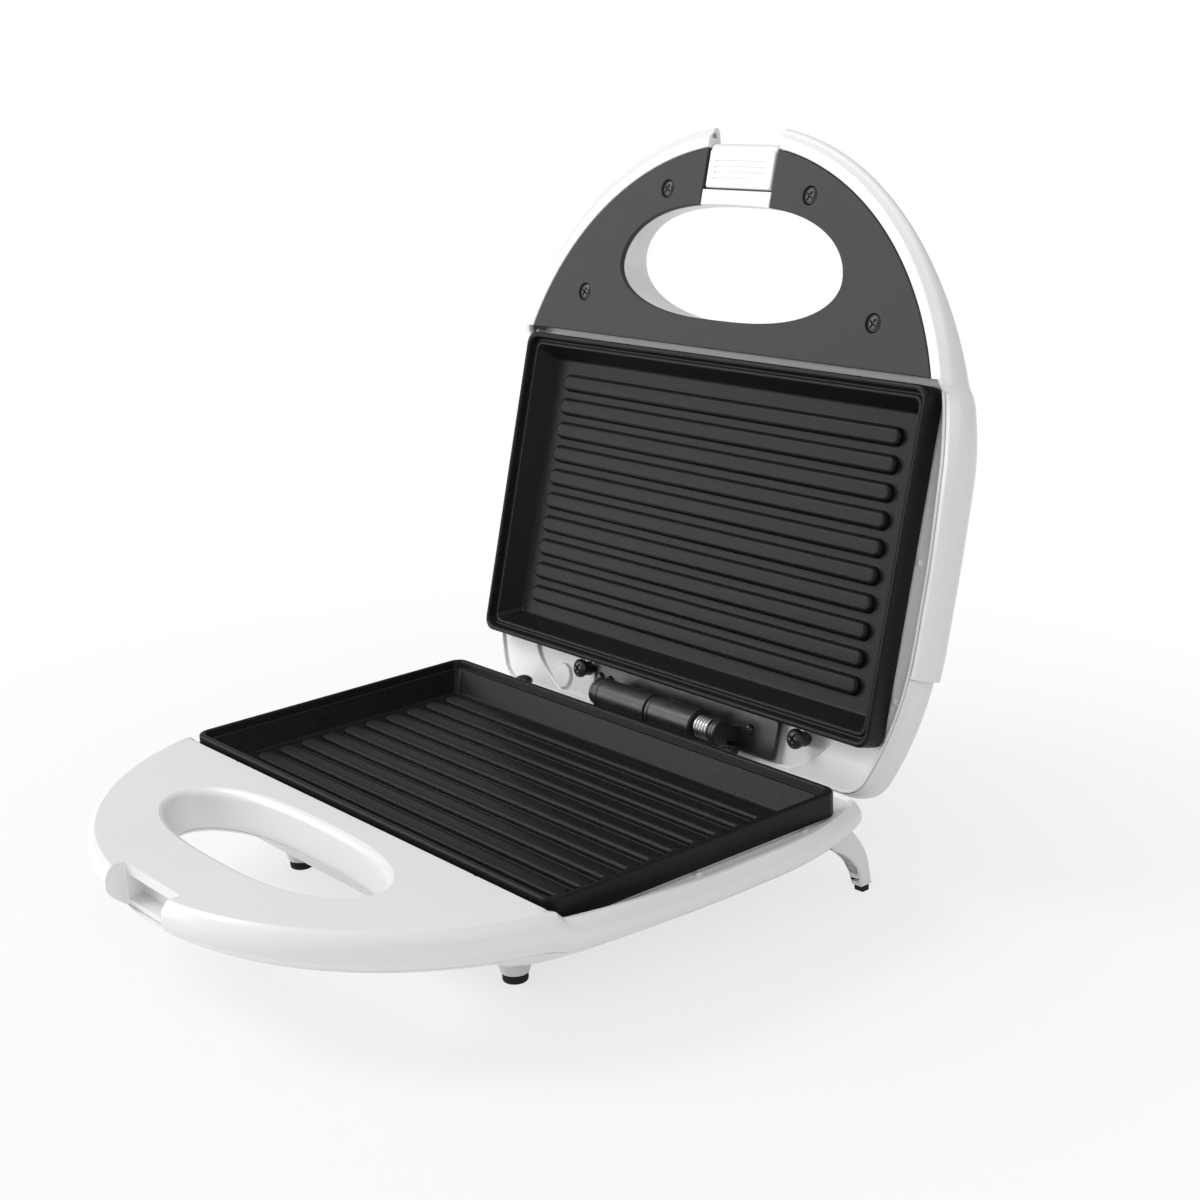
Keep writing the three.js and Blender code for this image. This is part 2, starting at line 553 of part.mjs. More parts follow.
// Finger opening, an egg-shaped oval that is widest nearer to its rear edge
function fingerOutline(halfWidth, rearY, frontY, widestShare, centreX, offset) {
  const widestY = rearY + (frontY - rearY) * widestShare;
  const points = [];
  for (let i = 0; i < FINGER_STEPS; i += 1) {
    const angle = (i / FINGER_STEPS) * Math.PI * 2;
    const cosine = Math.cos(angle);
    const sine = Math.sin(angle);
    const bulge = Math.sign(cosine) * Math.abs(cosine) ** FINGER_FULLNESS_POWER;
    const half = sine > 0 ? rearY - widestY : widestY - frontY;
    const x = centreX + (halfWidth + offset) * bulge;
    points.push(new THREE.Vector2(x, widestY + (half + offset) * sine));
  }
  return points;
}

function lidFinger(offset) {
  return fingerOutline(
    FINGER_HALF_WIDTH, FINGER_REAR_Y, FINGER_FRONT_Y, FINGER_WIDEST_SHARE, FINGER_CENTRE_X, offset,
  );
}

function baseFinger(offset) {
  return fingerOutline(
    BASE_FINGER_HALF_WIDTH, BASE_FINGER_REAR_Y, BASE_FINGER_FRONT_Y, BASE_FINGER_WIDEST_SHARE, 0, offset,
  );
}

function atDepth(outline, depthOf) {
  return outline.map((point) => new THREE.Vector3(point.x, point.y, depthOf(point)));
}

// Housing bodies

function profileOffset({ bulgeShare, inwardShare }, bulge) {
  return bulge * bulgeShare - RIM_RADIUS * inwardShare;
}

function lidRimDepth(y) {
  if (y < RIM_STEP_FRONT_Y) return PANEL_RIM_DEPTH;
  if (y < RIM_STEP_REAR_Y) {
    const share = (y - RIM_STEP_FRONT_Y) / (RIM_STEP_REAR_Y - RIM_STEP_FRONT_Y);
    return PANEL_RIM_DEPTH + (RIM_STEP_DEPTH - PANEL_RIM_DEPTH) * share;
  }
  const share = ease((y - RIM_STEP_REAR_Y) / (RIM_LEVEL_Y - RIM_STEP_REAR_Y));
  return RIM_STEP_DEPTH + (PLATE_RIM_DEPTH - RIM_STEP_DEPTH) * share;
}

function lidCrownDepth(y) {
  const share = ease((y - LID_SLOPE_FRONT_Y) / (LID_SLOPE_REAR_Y - LID_SLOPE_FRONT_Y));
  return LID_HANDLE_CROWN_DEPTH + (LID_CROWN_DEPTH - LID_HANDLE_CROWN_DEPTH) * share;
}

function lidRimOffset() {
  return profileOffset(LID_PROFILE_SHARES[0], LID_BULGE);
}

// Domed body of the lid, drawn in by a wall thickness and opened at the rim by an extra ring
function lidBody(wall, step, openRim) {
  const rings = LID_PROFILE_SHARES.map((row) => {
    const outline = housingOutline(profileOffset(row, LID_BULGE) - wall - step);
    const depthOf = ({ y }) => {
      const rim = lidRimDepth(y);
      return rim + (lidCrownDepth(y) - wall - rim) * row.depthShare;
    };
    return atDepth(outline, depthOf);
  });
  if (openRim) {
    const rim = housingOutline(lidRimOffset() - wall - step);
    rings.unshift(atDepth(rim, () => -FRAME_SKIRT_DEPTH));
  }
  return loft(rings);
}

function baseRimDepth(y) {
  return Math.max(BASE_HANDLE_RIM_DEPTH, lidRimDepth(y));
}

// Bowl of the base before its handle is cut to thickness
function baseBowl(wall) {
  const rings = BASE_PROFILE_SHARES.map((row) => {
    const outline = housingOutline(profileOffset(row, BASE_BULGE) - wall);
    const depthOf = ({ y }) => {
      const rim = baseRimDepth(y);
      return rim + (BASE_BOTTOM_DEPTH - wall - rim) * row.depthShare;
    };
    return atDepth(outline, depthOf);
  });
  return loft(rings);
}

// Prism along X of an outline drawn in the plane of Y and depth
function sideways(outline, start, end) {
  const shape = new THREE.Shape(outline);
  const geometry = new THREE.ExtrudeGeometry(shape, { depth: end - start, bevelEnabled: false });
  geometry.rotateY(Math.PI / 2);
  geometry.rotateX(Math.PI / 2);
  return toSolid(geometry.translate(start, 0, 0));
}

// Region behind the sloping front wall of the tub
function tubRegion(wall) {
  const top = HANDLE_UNDERSIDE_DEPTH - BASE_WALL * 2;
  const front = TUB_FRONT_Y + wall;
  const outline = [
    new THREE.Vector2(front, top),
    new THREE.Vector2(front + TUB_FRONT_SLOPE, BASE_BOTTOM_DEPTH),
    new THREE.Vector2(front + TUB_FRONT_SLOPE, REACH),
    new THREE.Vector2(REACH, REACH),
    new THREE.Vector2(REACH, -REACH),
    new THREE.Vector2(front, -REACH),
  ];
  return sideways(outline, -REACH / 2, REACH / 2);
}

function slab(depths) {
  return block([-REACH, REACH], [-REACH, REACH], depths);
}

function front(limit) {
  return block([-REACH, REACH], [-REACH, limit], [-REACH, REACH]);
}

function rear(limit) {
  return block([-REACH, REACH], [limit, REACH], [-REACH, REACH]);
}

// Frame floor and centring nubs

function nubs() {
  const depths = [FRAME_FLOOR_DEPTH - NUB_HEIGHT, FRAME_FLOOR_DEPTH + OVERLAP];
  const solids = NUB_PLACE_SHARES.flatMap((share) => [1, -1].map((side) => {
    const y = (share * PLATE_DEPTH) / 2;
    const xs = [side * NUB_X - NUB_WIDTH / 2, side * NUB_X + NUB_WIDTH / 2];
    return block(xs, [y - NUB_LENGTH / 2, y + NUB_LENGTH / 2], depths);
  }));
  return join(...solids);
}

// Room for the plate between the lips, with its corners cut into them
function frameRecess() {
  const depths = [-REACH, FRAME_FLOOR_DEPTH];
  const lip = housingOutline(FRAME_OUTER_OFFSET - LIP_THICKNESS);
  return join(prism(lip, depths), prism(plateOutline(-PLATE_CLEARANCE), depths));
}

function cutFrameOpenings(solid) {
  const through = [-REACH, REACH];
  return solid
    .subtract(prism(plateOutline(FRAME_OPENING_INSET), through));
}

function frameScrewHoles(depths) {
  return join(...FRAME_SCREWS_X.map((x) => (
    pillar(x, FRAME_SCREW_Y, depths, FRAME_SCREW_SHANK_RADIUS + FIT_GAP)
  )));
}

// Grill plate with ridge, groove, sloping walls and round-ended ribs
function grillPlate() {
  const floorBottom = FLOOR_DEPTH + FLOOR_THICKNESS;
  const skirtInset = PLATE_SKIRT_THICKNESS;
  const steps = [
    [FLOOR_INSET + FLOOR_THICKNESS / 2, floorBottom],
    [UNDERSIDE_INSET, GROOVE_DEPTH + FLANGE_THICKNESS],
    [skirtInset, GROOVE_DEPTH + FLANGE_THICKNESS],
    [skirtInset, PLATE_SKIRT_DEPTH],
    [0, PLATE_SKIRT_DEPTH],
    [0, RIDGE_BEVEL],
    [RIDGE_BEVEL, 0],
    [RIDGE_WIDTH, 0],
    [GROOVE_INSET, GROOVE_DEPTH],
    [INNER_RIDGE_INSET, INNER_RIDGE_DEPTH],
    [FLOOR_INSET, FLOOR_DEPTH],
  ];
  const pan = loft(steps.map(([inset, depth]) => atDepth(plateOutline(inset), () => depth)).reverse());
  const ribs = [];
  for (let i = 0; i < RIB_COUNT; i += 1) {
    const y = (i - (RIB_COUNT - 1) / 2) * RIB_PITCH;
    const straight = (RIB_HALF_LENGTH - RIB_RADIUS) * 2;
    const rib = new THREE.CapsuleGeometry(RIB_RADIUS, straight, RIB_CAP_STEPS, RIB_SIDES);
    rib.rotateZ(Math.PI / 2);
    rib.rotateX(Math.PI / RIB_SIDES);
    rib.scale(1, 1, RIB_HEIGHT / RIB_RADIUS);
    ribs.push(toSolid(rib.translate(0, y, FLOOR_DEPTH)));
  }
  return join(pan, ...ribs);
}

// Pressed reflector tray that the plate's skirt holds down on the frame
function reflector() {
  const flangeTop = PLATE_SKIRT_DEPTH + FIT_GAP;
  const outside = [
    [REFLECTOR_FLANGE_INSET, flangeTop],
    [REFLECTOR_FLANGE_INSET, flangeTop + REFLECTOR_SHEET],
    [REFLECTOR_WALL_INSET, flangeTop + REFLECTOR_SHEET],
    [REFLECTOR_FLOOR_INSET, REFLECTOR_FLOOR_DEPTH],
  ];
  const inside = [
    [REFLECTOR_WALL_INSET + REFLECTOR_SHEET, flangeTop - REFLECTOR_SHEET],
    [REFLECTOR_WALL_INSET + REFLECTOR_SHEET, flangeTop + REFLECTOR_SHEET],
    [REFLECTOR_FLOOR_INSET + REFLECTOR_SHEET, REFLECTOR_FLOOR_DEPTH - REFLECTOR_SHEET],
  ];
  const body = (steps) => loft(steps.map(([inset, depth]) => atDepth(plateOutline(inset), () => depth)));
  const holes = [1, -1].map((side) => (
    disc(side * HEATER_TERMINAL_X, HEATER_HALF_DEPTH, [0, REACH], HEATER_RADIUS + HEATER_HOLE_GAP)
  ));
  return body(outside).subtract(body(inside)).subtract(join(...holes));
}

// Tubular heater bent to a loop, its two ends turned down through the reflector
function heater() {
  const level = HEATER_TOP_DEPTH + HEATER_RADIUS;
  const endDepth = REFLECTOR_FLOOR_DEPTH + HEATER_RADIUS;
  const halfRun = HEATER_HALF_LENGTH;
  const halfDepth = HEATER_HALF_DEPTH;
  const right = [
    [HEATER_TERMINAL_X, halfDepth, endDepth],
    [HEATER_TERMINAL_X, halfDepth, level],
    [halfRun, halfDepth, level],
    [halfRun, -halfDepth, level],
  ];
  const left = right.map(([x, y, z]) => [-x, y, z]).reverse();
  return tube([...right, ...left], HEATER_BEND, HEATER_RADIUS, HEATER_SIDES, HEATER_STEPS);
}

// Lid pieces in the half frame

function lidInnerFrame() {
  const lip = FRAME_OUTER_OFFSET - LIP_THICKNESS;
  const rimOutline = housingOutline(FRAME_OUTER_OFFSET);
  const body = loft([
    atDepth(rimOutline, ({ y }) => lidRimDepth(Math.max(y, RIM_STEP_REAR_Y))),
    atDepth(rimOutline, () => FRAME_SKIRT_DEPTH),
  ]);
  const recess = frameRecess();
  const hollow = prism(housingOutline(lip), [FRAME_FLOOR_DEPTH + FRAME_FLOOR_THICKNESS, REACH]);
  const panelSeat = front(PANEL_REAR_Y + LIP_THICKNESS).intersect(slab([-REACH, FRAME_FLOOR_DEPTH]));
  const frame = join(body.subtract(recess).subtract(hollow).subtract(panelSeat), nubs());
  return cutFrameOpenings(frame)
    .subtract(front(FRAME_FRONT_Y))
    .subtract(frameScrewHoles([0, REACH]));
}

function notch(rearY, depths) {
  return block([-NOTCH_HALF_WIDTH, NOTCH_HALF_WIDTH], [-REACH, rearY], depths);
}

function insertScrewPlaces() {
  const rows = [
    [PANEL_RADIUS - INSERT_SCREW_FRONT_MARGIN, INSERT_SCREW_FRONT_DEGREES],
    [PANEL_RADIUS - INSERT_SCREW_SIDE_MARGIN, INSERT_SCREW_SIDE_DEGREES],
  ];
  return rows.flatMap(([radius, degrees]) => {
    const { x, y } = frontArcPoint(radius, -THREE.MathUtils.degToRad(degrees));
    return [1, -1].map((side) => [side * x, y]);
  });
}

function lidCover() {
  const outer = lidBody(0, 0, false);
  const inner = lidBody(LID_WALL, 0, true);
  const handle = front(PANEL_REAR_Y);
  const depths = [PANEL_RIM_DEPTH, PANEL_LEDGE_DEPTH];
  const seat = PANEL_SEAT_DEPTH;
  const ring = prism(housingOutline(lidRimOffset()), depths)
    .subtract(prism(housingOutline(PANEL_RADIUS + FIT_GAP - RIM_RADIUS), [-REACH, REACH]))
    .intersect(handle);
  const ledge = prism(housingOutline(lidRimOffset()), [seat, PANEL_LEDGE_DEPTH])
    .subtract(prism(housingOutline(PANEL_RADIUS - PANEL_LEDGE_WIDTH - RIM_RADIUS), [-REACH, REACH]))
    .intersect(handle);
  const bosses = insertScrewPlaces().map(([x, y]) => disc(x, y, [seat, REACH], BOSS_RADIUS));
  const screwHoles = insertScrewPlaces().map(([x, y]) => (
    pillar(x, y, [-REACH, INSERT_SCREW_END_DEPTH + FIT_GAP], INSERT_SCREW_SHANK_RADIUS + FIT_GAP)
  ));
  const sleeve = prism(lidFinger(FINGER_WALL), [seat, REACH]);
  const bridge = block(
    [-NOTCH_HALF_WIDTH + FIT_GAP, NOTCH_HALF_WIDTH - FIT_GAP],
    [NOTCH_REAR_Y, FINGER_FRONT_Y + FINGER_WALL],
    [PANEL_RIM_DEPTH, seat + FIT_GAP],
  );
  const solidParts = join(sleeve, ...bosses).intersect(outer);
  const pinBosses = block(
    [-NOTCH_HALF_WIDTH - BOSS_RADIUS, NOTCH_HALF_WIDTH + BOSS_RADIUS],
    [LATCH_PIVOT_Y - LATCH_BARREL_RADIUS, LATCH_PIVOT_Y + BOSS_RADIUS],
    [seat, REACH],
  ).intersect(outer);
  const clipWell = notch(NOTCH_REAR_Y, [-REACH, LATCH_NOSE_DEPTH + FIT_GAP]);
  const pinHole = latchRod(LATCH_PIN_OVERHANG + FIT_GAP, LATCH_PIN_RADIUS + FIT_GAP);
  const lampHoles = [1, -1].map((side) => (
    disc((side * LAMP.spacing) / 2, LAMP.y, [LID_CROWN_DEPTH / 2, REACH], LAMP.radius + FIT_GAP)
  ));
  const shell = join(outer.subtract(inner), ring, ledge, solidParts, pinBosses, bridge);
  return shell
    .subtract(join(...screwHoles))
    .subtract(clipWell.subtract(bridge))
    .subtract(pinHole)
    .subtract(join(...lampHoles))
    .subtract(prism(lidFinger(0), [-REACH, REACH]))
    .subtract(rear(LID_SEAM_Y - FIT_GAP / 2));
}

function lidRearCover() {
  const outer = lidBody(0, LID_REAR_STEP, false);
  const inner = lidBody(LID_WALL, LID_REAR_STEP, true);
  const posts = FRAME_SCREWS_X.map((x) => {
    const depths = [FRAME_FLOOR_DEPTH + FRAME_FLOOR_THICKNESS + FIT_GAP, REACH];
    return disc(x, FRAME_SCREW_Y, depths, BOSS_RADIUS);
  });
  const roomEnd = FRAME_SKIRT_DEPTH + FIT_GAP;
  const skirtRoom = prism(housingOutline(FRAME_OUTER_OFFSET + FIT_GAP), [-REACH, roomEnd]);
  const shell = outer.subtract(inner);
  return join(shell.subtract(skirtRoom), join(...posts).intersect(outer))
    .subtract(frameScrewHoles([0, FRAME_SCREW_END_DEPTH + FIT_GAP]))
    .subtract(front(LID_SEAM_Y + FIT_GAP / 2));
}

function lidInsertPanel() {
  const depths = [PANEL_RIM_DEPTH, PANEL_RIM_DEPTH + PANEL_THICKNESS];
  const sinkEnd = PANEL_RIM_DEPTH + INSERT_SCREW_HEAD_DEPTH + FIT_GAP;
  const countersinks = insertScrewPlaces().map(([x, y]) => join(
    disc(x, y, [-REACH, sinkEnd], INSERT_SCREW_HEAD_RADIUS + FIT_GAP),
    pillar(x, y, [-REACH, REACH], INSERT_SCREW_SHANK_RADIUS + FIT_GAP),
  ));
  return prism(housingOutline(PANEL_RADIUS - RIM_RADIUS), depths)
    .subtract(rear(PANEL_REAR_Y))
    .subtract(prism(lidFinger(0), [-REACH, REACH]))
    .subtract(notch(FINGER_FRONT_Y + FINGER_WALL * 2, [-REACH, REACH]))
    .subtract(join(...countersinks));
}

// Cross-head screw that holds the insert panel
function insertScrew([x, y]) {
  const headEnd = PANEL_RIM_DEPTH + INSERT_SCREW_HEAD_DEPTH;
  const slotHalf = INSERT_SCREW_HEAD_RADIUS * CROSS_LENGTH_SHARE;
  const slotWidth = INSERT_SCREW_HEAD_RADIUS * CROSS_WIDTH_SHARE;
  const depths = [-REACH, PANEL_RIM_DEPTH + INSERT_SCREW_HEAD_DEPTH / 2];
  const cross = join(
    block([x - slotHalf, x + slotHalf], [y - slotWidth, y + slotWidth], depths),
    block([x - slotWidth, x + slotWidth], [y - slotHalf, y + slotHalf], depths),
  );
  const shank = pillar(x, y, [headEnd - OVERLAP, INSERT_SCREW_END_DEPTH], INSERT_SCREW_SHANK_RADIUS);
  return join(disc(x, y, [PANEL_RIM_DEPTH, headEnd], INSERT_SCREW_HEAD_RADIUS), shank).subtract(cross);
}

function latchClip() {
  const span = { start: -LATCH_HALF_WIDTH, end: LATCH_HALF_WIDTH };
  const xs = [-LATCH_HALF_WIDTH, LATCH_HALF_WIDTH];
  const end = LATCH_PIVOT_Y + LATCH_REACH;
  return join(
    rod(span, LATCH_PIVOT_Y, LATCH_PIVOT_DEPTH, LATCH_BARREL_RADIUS, SMALL_SIDES),
    block(xs, [LATCH_PIVOT_Y, end], [LATCH_FACE_DEPTH, LATCH_FACE_DEPTH + LATCH_THICKNESS]),
    block(xs, [end - LATCH_NOSE_WIDTH, end], [LATCH_FACE_DEPTH, LATCH_NOSE_DEPTH]),
  ).subtract(latchRod(LATCH_PIN_OVERHANG, LATCH_PIN_BORE_RADIUS));
}

// Rod on the latch's pivot that reaches past both sides of the notch
function latchRod(overhang, radius) {
  const half = NOTCH_HALF_WIDTH + overhang;
  return rod({ start: -half, end: half }, LATCH_PIVOT_Y, LATCH_PIVOT_DEPTH, radius, SMALL_SIDES);
}

// Screw with a head and a collar that stands beside the hinge
function frameScrew(x) {
  const headEnd = FRAME_SCREW_TOP_DEPTH + FRAME_SCREW_HEAD_DEPTH;
  const collarEnd = FRAME_FLOOR_DEPTH - FIT_GAP;
  return join(
    disc(x, FRAME_SCREW_Y, [FRAME_SCREW_TOP_DEPTH, headEnd], FRAME_SCREW_HEAD_RADIUS),
    disc(x, FRAME_SCREW_Y, [headEnd - OVERLAP, collarEnd], FRAME_SCREW_COLLAR_RADIUS),
    pillar(x, FRAME_SCREW_Y, [collarEnd - OVERLAP, FRAME_SCREW_END_DEPTH], FRAME_SCREW_SHANK_RADIUS),
  );
}

// Hinge bracket: knuckles round the pin axis, arms and a foot plate on the frame floor
function hingeBracket(axisDepth, knuckles, foot, rearArm) {
  const axisY = PLATE_DEPTH / 2 + HINGE_BEHIND_PLATE;
  const plateEnd = FRAME_FLOOR_DEPTH - FIT_GAP;
  const plateStart = plateEnd - BRACKET_PLATE_THICKNESS;
  const barrels = knuckles.flatMap((span) => [
    rod(span, axisY, axisDepth, BARREL_RADIUS, BARREL_SIDES),
    block([span.start, span.end], [axisY - ARM_HALF_WIDTH, axisY + ARM_HALF_WIDTH], [axisDepth, plateEnd]),
  ]);
  const plate = block(
    [foot.start, foot.end],
    [axisY - BRACKET_FRONT_ARM, axisY + rearArm],
    [plateStart, plateEnd],
  );
  const bore = rod({ start: -REACH, end: REACH }, axisY, axisDepth, PIN_BORE_RADIUS, BARREL_SIDES);
  return join(plate, ...barrels).subtract(bore);
}

function mirrored(span) {
  return { start: -span.end, end: -span.start };
}

// Helical spring wound round the hinge pin as one wire
function hingeSpring() {
  const length = SPRING_SPAN.end - SPRING_SPAN.start - SPRING_WIRE_RADIUS * 2;
  const steps = SPRING_CURLS * SPRING_STEPS_PER_CURL;
  const rings = [];
  for (let i = 0; i <= steps; i += 1) {
    const angle = (i / SPRING_STEPS_PER_CURL) * Math.PI * 2;
    const along = -length / 2 + (length * i) / steps;
    const ring = [];
    for (let j = 0; j < SPRING_WIRE_SIDES; j += 1) {
      const turn = (j / SPRING_WIRE_SIDES) * Math.PI * 2;
      const radius = SPRING_COIL_RADIUS + SPRING_WIRE_RADIUS * Math.cos(turn);
      const x = along + SPRING_WIRE_RADIUS * Math.sin(turn);
      ring.push(new THREE.Vector3(x, radius * Math.cos(angle), radius * Math.sin(angle)));
    }
    rings.push(ring);
  }
  const pitch = length / SPRING_CURLS;
  console.log(`hinge spring: least gap to itself ${(pitch - SPRING_WIRE_RADIUS * 2).toFixed(2)} mm`);
  const places = rings.flat().flatMap((point) => point.toArray());
  const triangles = [];
  const sides = SPRING_WIRE_SIDES;
  for (let i = 0; i < steps; i += 1) {
    for (let j = 0; j < sides; j += 1) {
      const a = i * sides + j;
      const b = i * sides + ((j + 1) % sides);
      triangles.push(a, b + sides, b, a, a + sides, b + sides);
    }
  }
  for (let j = 1; j + 1 < sides; j += 1) {
    triangles.push(0, j, j + 1);
    triangles.push(steps * sides, steps * sides + j + 1, steps * sides + j);
  }
  const geometry = new THREE.BufferGeometry();
  geometry.setAttribute('position', new THREE.Float32BufferAttribute(places, 3));
  geometry.setIndex(triangles);
  return geometry;
}

// Base pieces in the half frame

function baseShapes() {
  const bowl = baseBowl(0);
  const tub = tubRegion(0);
  const outer = bowl.intersect(join(slab([-REACH, HANDLE_UNDERSIDE_DEPTH]), tub));
  const innerBowl = baseBowl(BASE_WALL);
  const shelfDepth = BASE_SPLIT_DEPTH + FIT_GAP + REAR_WALL;
  const rearRoom = rear(REAR_SHELF_Y - REAR_WALL).intersect(slab([-REACH, shelfDepth]));
  const handleDepths = [BASE_HANDLE_RIM_DEPTH + BASE_HANDLE_DECK, BASE_SPLIT_DEPTH + FIT_GAP];
  const ledgeDepths = [BASE_HANDLE_RIM_DEPTH + BASE_NOTCH_LEDGE_THICKNESS, BASE_SPLIT_DEPTH + FIT_GAP];
  const handleRoom = join(
    slab(handleDepths)
      .intersect(front(RECESS_FRONT_Y - RECESS_WALL))
      .subtract(notch(BASE_NOTCH_LEDGE_Y + RECESS_WALL, [-REACH, REACH])),
    notch(BASE_NOTCH_LEDGE_Y, ledgeDepths),
  );
  const plateRoom = slab([FRAME_FLOOR_DEPTH + FRAME_FLOOR_THICKNESS, REACH])
    .intersect(rear(RECESS_FRONT_Y - OVERLAP))
    .intersect(join(slab([-REACH, HANDLE_UNDERSIDE_DEPTH - BASE_WALL]), tubRegion(BASE_WALL)));
  const cavity = innerBowl.intersect(join(handleRoom, plateRoom)).subtract(rearRoom);
  const shelfCut = rear(REAR_SHELF_Y).intersect(slab([-REACH, BASE_SPLIT_DEPTH]));
  return { outer: outer.subtract(shelfCut), cavity };
}

function baseNotch() {
  return notch(BASE_NOTCH_EDGE_Y, [-REACH, REACH]);
}

function baseHousing({ outer, cavity }) {
  const recess = frameRecess().subtract(front(RECESS_FRONT_Y));
  const sleeve = prism(baseFinger(BASE_FINGER_WALL), [-REACH, REACH]);
  const postDepths = [FRAME_FLOOR_DEPTH + FRAME_FLOOR_THICKNESS - OVERLAP, BASE_SPLIT_DEPTH];
  const posts = bottomScrewPlaces().map(([x, y]) => disc(x, y, postDepths, BOTTOM_SCREW.boss));
  const frame = join(outer.subtract(cavity), outer.intersect(sleeve)).subtract(recess);
  const upper = join(frame, nubs(), ...posts).intersect(slab([-REACH, BASE_SPLIT_DEPTH]));
  return cutFrameOpenings(upper)
    .subtract(prism(baseFinger(0), [-REACH, REACH]))
    .subtract(bottomScrewHoles())
    .subtract(frameScrewHoles([0, REACH]))
    .subtract(baseNotch());
}

function bottomScrewPlaces() {
  const rows = [
    [BOTTOM_SCREW_FRONT.sideInset, -PLATE_DEPTH / 2 - BOTTOM_SCREW_FRONT.beyondPlate],
    [BOTTOM_SCREW_REAR.sideInset, PLATE_DEPTH / 2 + BOTTOM_SCREW_REAR.beyondPlate],
  ];
  return rows.flatMap(([inset, y]) => [1, -1].map((side) => [side * (PLATE_LENGTH / 2 - inset), y]));
}

function bottomScrewHoles() {
  const radius = BOTTOM_SCREW.shankRadius + FIT_GAP;
  return join(...bottomScrewPlaces().map(([x, y]) => pillar(x, y, [0, REACH], radius)));
}

function baseBottom({ outer, cavity }) {
  const start = BASE_SPLIT_DEPTH + FIT_GAP;
  const lower = slab([start, REACH]);
  const sleeve = prism(baseFinger(BASE_FINGER_WALL), [-REACH, REACH]);
  const headDepth = BASE_BOTTOM_DEPTH - BOTTOM_SCREW.recess;
  const posts = bottomScrewPlaces().map(([x, y]) => disc(x, y, [start, REACH], BOTTOM_SCREW.boss));
  const wells = bottomScrewPlaces().map(([x, y]) => (
    disc(x, y, [headDepth - BOTTOM_SCREW.headHeight, REACH], BOTTOM_SCREW.headRadius + FIT_GAP)
  ));
  const glandHole = glandCylinder([-REACH, REACH], GLAND.outer + FIT_GAP);
  const glandBoss = glandCylinder([REAR_SHELF_Y - REAR_WALL, GLAND_BOSS_Y], GLAND.boss);
  const inside = join(sleeve, ...posts).intersect(outer);
  const shell = join(join(outer, glandBoss).subtract(cavity), inside).intersect(lower);
  return shell
    .subtract(prism(baseFinger(0), [-REACH, REACH]))
    .subtract(bottomScrewHoles())
    .subtract(join(...wells))
    .subtract(glandHole.intersect(rear(GLAND_INSIDE_Y)));
}

function bottomScrew([x, y]) {
  const headDepth = BASE_BOTTOM_DEPTH - BOTTOM_SCREW.recess;
  return join(
    disc(x, y, [headDepth - BOTTOM_SCREW.headHeight + FIT_GAP, headDepth], BOTTOM_SCREW.headRadius),
    pillar(x, y, [FRAME_FLOOR_DEPTH + FRAME_FLOOR_THICKNESS, headDepth - OVERLAP], BOTTOM_SCREW.shankRadius),
  );
}

// Cylinder along Y at the cord gland's place
function glandCylinder(yRange, radius) {
  const geometry = new THREE.CylinderGeometry(radius, radius, yRange[1] - yRange[0], ROUND_SIDES);
  return toSolid(geometry.translate(GLAND.x, (yRange[0] + yRange[1]) / 2, GLAND_DEPTH));
}

function cordGland() {
  const flangeStart = GLAND_BOSS_Y + FIT_GAP;
  return join(
    glandCylinder([GLAND_INSIDE_Y, flangeStart + OVERLAP], GLAND.outer),
    glandCylinder([flangeStart, flangeStart + GLAND.flangeLength], GLAND.flange),
  ).subtract(glandCylinder([-REACH, REACH], GLAND.bore));
}

// Thermostat disc with two tabs, thermal fuse and terminal block under the lower reflector
function thermostat() {
  const top = REFLECTOR_FLOOR_DEPTH + FIT_GAP;
  const bottom = top + THERMOSTAT_HEIGHT;
  const { width, thickness, length, x: tabX } = THERMOSTAT_TAB;
  const ys = [THERMOSTAT_Y, THERMOSTAT_Y + THERMOSTAT_RADIUS + length];
  const tabs = [tabX, -tabX].map((x) => (
    block([x - width / 2, x + width / 2], ys, [bottom - thickness * 2, bottom - thickness])
  ));
  return join(disc(0, THERMOSTAT_Y, [top, bottom], THERMOSTAT_RADIUS), ...tabs);
}

function thermalFuse() {
  const depth = REFLECTOR_FLOOR_DEPTH + FIT_GAP + FUSE.radius;
  const span = { start: FUSE.x - FUSE.length / 2, end: FUSE.x + FUSE.length / 2 };
  return rod(span, FUSE.y, depth, FUSE.radius, SMALL_SIDES);
}

function terminalBlockY() {
  return PLATE_DEPTH / 2 + TERMINAL_BLOCK.behindPlate;
}

function terminalBlock() {
  const { width, depth, height, x } = TERMINAL_BLOCK;
  const y = terminalBlockY();
  const top = FRAME_FLOOR_DEPTH + FRAME_FLOOR_THICKNESS + TERMINAL_BLOCK.belowFrame;
  const body = block([x - width / 2, x + width / 2], [y - depth / 2, y + depth / 2], [top, top + height]);
  const holes = [-1, 0, 1].map((step) => (
    pillar(x + (step * width) / 3, y, [top - OVERLAP, top + height / 2], WIRE_RADIUS * 2)
  ));
  return body.subtract(join(...holes));
}

function wire(points) {
  return tube(points, WIRE_BEND, WIRE_RADIUS, WIRE_SIDES, WIRE_STEPS);
}

